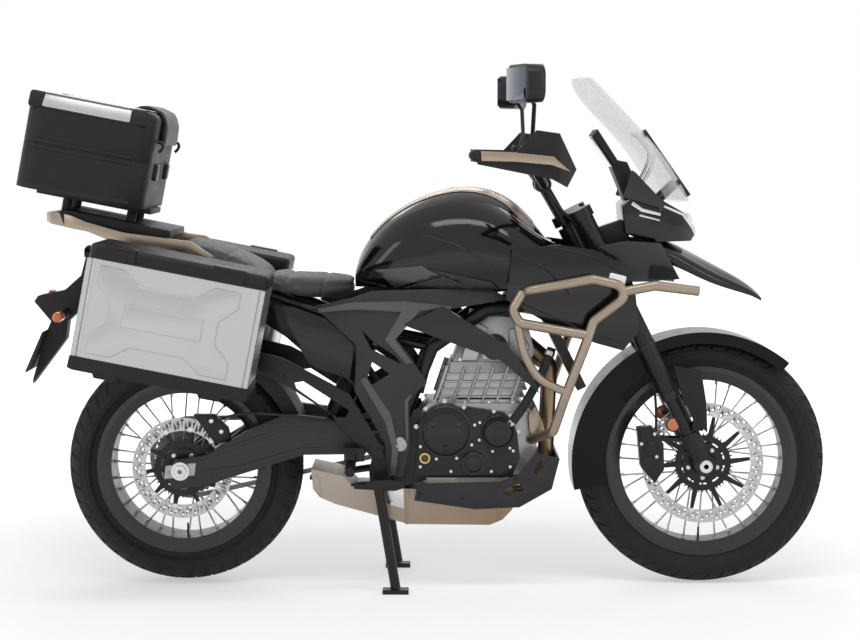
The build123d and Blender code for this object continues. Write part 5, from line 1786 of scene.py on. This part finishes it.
@dataclass
class RunningGear:
    """Axle nuts, chain adjusters, caliper and fork details, brake hose and the rests' rubbers."""

    rear_axle: Centre = (-645.0, 318.0)
    front_axle: Centre = (725.0, 329.5)
    rake: float = 26.5
    fork_half: float = 105.0
    reflector: Centre = (640.0, 438.0)

    def axles(self) -> None:
        """Axle nuts and the swingarm's adjusters."""
        s = Shaper()
        s.turned([(6.6, -148), (17, -148), (18, -146), (18, -138), (6.6, -138)], self.rear_axle, 6)
        s.turned([(7, -142), (24, -142), (25, -140), (25, -130), (7, -130)], self.rear_axle, 48)
        s.mirrored().done("rear-axle-nuts", Look.BRIGHT)
        plates = Shaper()
        plates.plate([(-688, 296), (-608, 306), (-604, 340), (-684, 332)], -134.5, -129.5, 2.0, 3)
        plates.bolt((-676, -134, 314), ACROSS, 4.0, 4.0)
        plates.mirrored().done("chain-adjusters", Look.ALLOY)
        front = Shaper()
        front.turned([(6.6, -135), (15, -135), (17, -133), (17, -128), (6.6, -128)], self.front_axle, 36)
        front.mirrored().done("front-axle-nuts", Look.BRIGHT, "steering")

    def calipers(self) -> None:
        """Pistons and bolts of the calipers, and the fork's orange reflectors, whose faint glow is painted."""
        s = Shaper()
        for x, z in ((575, 330), (586, 372), (572, 404)):
            s.turned([(0.2, -98), (15, -98), (18, -96), (18, -90), (0.2, -90)], (x, z), 36)
        s.done("front-caliper-pistons", Look.SATIN, "steering")
        bolts = Shaper().bolts([(560, 384), (600, 350), (594, 410)], -91.6, 5.0, 5.0)
        bolts.done("front-caliper-bolts", Look.BRIGHT, "steering")
        # the reflector lens takes the orange emission: a painted glow, as a reflector gives no light of its own
        lens = Shaper().turned([(0.2, -116), (15, -116), (17, -114.5), (17, -111), (0.2, -111)], self.reflector, 44)
        lens.mirrored().done("fork-reflectors", Look.ORANGE, "steering")
        rim = Shaper().turned([(17, -116.5), (19.5, -116.5), (20, -110), (17, -110)], self.reflector, 44)
        rim.box((652, -112, 438), (30, 5, 12), 1.5)
        rim.mirrored().done("fork-reflector-rims", Look.SATIN, "steering")
        rear = Shaper().bolts([(-566, 446), (-540, 418)], -109.6, 6.0, 5.0)
        rear.done("rear-caliper-bolts", Look.BRIGHT)

    def on_leg(self, z: float, y: float) -> Point:
        """Point on a fork leg's middle line at a height."""
        axle_x, axle_z = self.front_axle
        return (axle_x + (axle_z - z) * math.tan(math.radians(self.rake)), y, z)

    def fork(self) -> None:
        """Seals, caps and brake hose of the fork."""
        seals = Shaper()
        caps = Shaper()
        for y in (-self.fork_half, self.fork_half):
            seals.rod(self.on_leg(506, y), self.on_leg(526, y), 27.5, 26.5, 40, 1.5)
            seals.rod(self.on_leg(640, y), self.on_leg(652, y), 26.2, segments=40, bevel=1.0)
            caps.rod(self.on_leg(974, y), self.on_leg(984, y), 18.0, 16.0, 6, 1.0)
        seals.done("fork-seals", Look.COVER, "steering")
        caps.done("fork-caps", Look.BRIGHT, "steering")
        hose = Shaper().pipe([(300, -60, 1060), (330, -66, 1010), (420, -84, 930), (478, -98, 830), (560, -98, 640),
                              (600, -92, 520), (598, -88, 420)], 3.6, 3, 16)
        hose.done("front-brake-hose", Look.GRIP, "steering")

    def rests(self) -> None:
        """Rubber pads of the pegs and pedals, and the levers' tips."""
        s = Shaper()
        droop = 30 / 218
        for i in range(7):
            out = i * 9.5
            s.box((-197, -194 - out, 366 - droop * out + 12.5), (24, 5.5, 5), 1.2)
        s.mirrored().done("peg-rubbers", Look.GRIP)
        tips = Shaper().rod((46, 196, 325), (46, 240, 325), 8.0, segments=24, bevel=2.0)
        tips.box((-180, -214, 297), (34, 22, 6), 1.5)
        tips.done("pedal-tips", Look.SATIN)

    def build(self) -> None:
        """Dress the running gear."""
        self.axles()
        self.calipers()
        self.fork()
        self.rests()


@dataclass
class Body:
    """Ridges and caps of the frame covers, crash bar loops and mounts, frame bolts and swingarm ribs."""

    pivot: Centre = (-72.0, 390.0)
    plate_face: float = -151.6

    def covers(self) -> None:
        """Crisp ridges on the side covers and the pivot caps."""
        s = Shaper()
        s.plate([(-286, 744), (-190, 762), (-60, 764), (60, 752), (60, 742), (-70, 736), (-186, 742), (-280, 734)],
                -154.5, -149, 1.4)
        s.plate([(-60, 752), (-18, 742), (-84, 664), (-40, 604), (-56, 600), (-112, 664)], -155.0, -149, 1.6)
        s.plate([(-176, 560), (-160, 566), (-96, 470), (-76, 380), (-84, 310), (-98, 310), (-94, 384), (-112, 450)],
                -150.5, -139, 1.4)
        s.plate([(-30, 540), (-22, 546), (-52, 500), (-50, 400), (-58, 400), (-60, 506)], -150.0, -140, 1.0)
        s.mirrored().done("side-cover-ridges", Look.WEDGE, "chassis", (), 30)
        caps = Shaper().turned([(0.2, -149), (16, -149), (19, -146), (19, -126), (0.2, -126)], self.pivot, 44)
        for turn in (90, 210, 330):
            caps.turned([(0.2, -150.6), (3.2, -150.6), (3.8, -149), (3.8, -148), (0.2, -148)],
                        around(self.pivot, 9, turn), 14)
        caps.mirrored().done("pivot-caps", Look.ALLOY)

    def engine_brackets(self) -> None:
        """Bronze mounts between the engine and the crash bars."""
        s = Shaper()
        s.plate([(262, 462), (280, 486), (300, 444), (306, 410), (282, 396), (266, 420)], -112, -106, 1.6)
        s.bolts([(276, 470), (288, 416)], -111.6, 5.0, 5.0)
        s.mirrored().done("engine-mounts", Look.BRONZE)

    def bar_clamps(self) -> None:
        """Lower loops of the crash bars, and the bolts of the footrest and belly plates."""
        loops = Shaper().pipe([(222, -237, 742), (232, -240, 690), (244, -240, 634), (272, -236, 584), (300, -232, 560),
                               (354, -228, 537)], 11.0, 3, 24)
        loops.mirrored().done("crash-bar-loops", Look.BRONZE)
        s = Shaper()
        s.bolts([(-452, 616), (-372, 566), (-150, 384), (-128, 380)], self.plate_face, 5.5, 5.0)
        s.bolts([(-20, 262), (90, 250), (228, 300), (286, 340)], self.plate_face, 4.6, 3.6)
        s.mirrored().done("frame-bolts", Look.SATIN)

    def swingarm(self) -> None:
        """Raised ribs along the swingarm, and the rear brake hose."""
        s = Shaper()
        upper = [(-600, 352), (-470, 400), (-372, 436), (-262, 428), (-262, 420), (-372, 426), (-468, 390), (-596, 344)]
        lower = [(-590, 318), (-480, 334), (-330, 378), (-262, 380), (-262, 372), (-330, 368), (-478, 322), (-588, 310)]
        for outline in (upper, lower):
            s.plate(outline, -132.6, -129, 1.2)
        s.mirrored().done("swingarm-ribs", Look.CHARCOAL, "chassis", (), 30)
        hose = Shaper().pipe([(-540, -112, 452), (-500, -136, 470), (-420, -140, 470), (-330, -138, 462),
                              (-250, -136, 452), (-190, -130, 440)], 3.4)
        hose.done("rear-brake-hose", Look.GRIP)

    def build(self) -> None:
        """Dress the frame covers."""
        self.covers()
        self.engine_brackets()
        self.bar_clamps()
        self.swingarm()


@dataclass
class Tail:
    """Tail lamp, indicator lenses and the plate's face."""

    def build(self) -> None:
        """Dress the tail."""
        lamp = Shaper().box((-1000, 0, 772), (10, 58, 22), 3.0, (0, 30, 0), 3)
        lamp.done("tail-lamp", Look.RED)
        lenses = Shaper()
        lenses.spun([(0, 3.5), (8, 3), (12.4, 0.5), (13.4, -3), (13.4, -34), (0, -34)], (-955, -158, 722), ACROSS, 32)
        lenses.mirrored().done("indicator-lenses", Look.ORANGE)
        plate = Shaper().plate([(-1009, 676), (-1006, 677), (-1051, 576), (-1054, 577)], -88, 88, 0.8)
        plate.done("plate-face", Look.PLATE)


def main() -> None:
    """Build the studio and dress the machine, one sub-assembly after another."""
    logging.basicConfig(level=logging.INFO, format="%(name)s: %(message)s")
    for part in (Studio(), Frame(), FRONT, REAR, Panniers(), TopCase(), Tank(), Nose(), Bars(), Engine(), RunningGear(),
                 Body(), Tail(), *SEATS):
        log.info("building %s", type(part).__name__)
        part.build()
    bpy.context.view_layer.update()


if __name__ == "__main__":
    main()
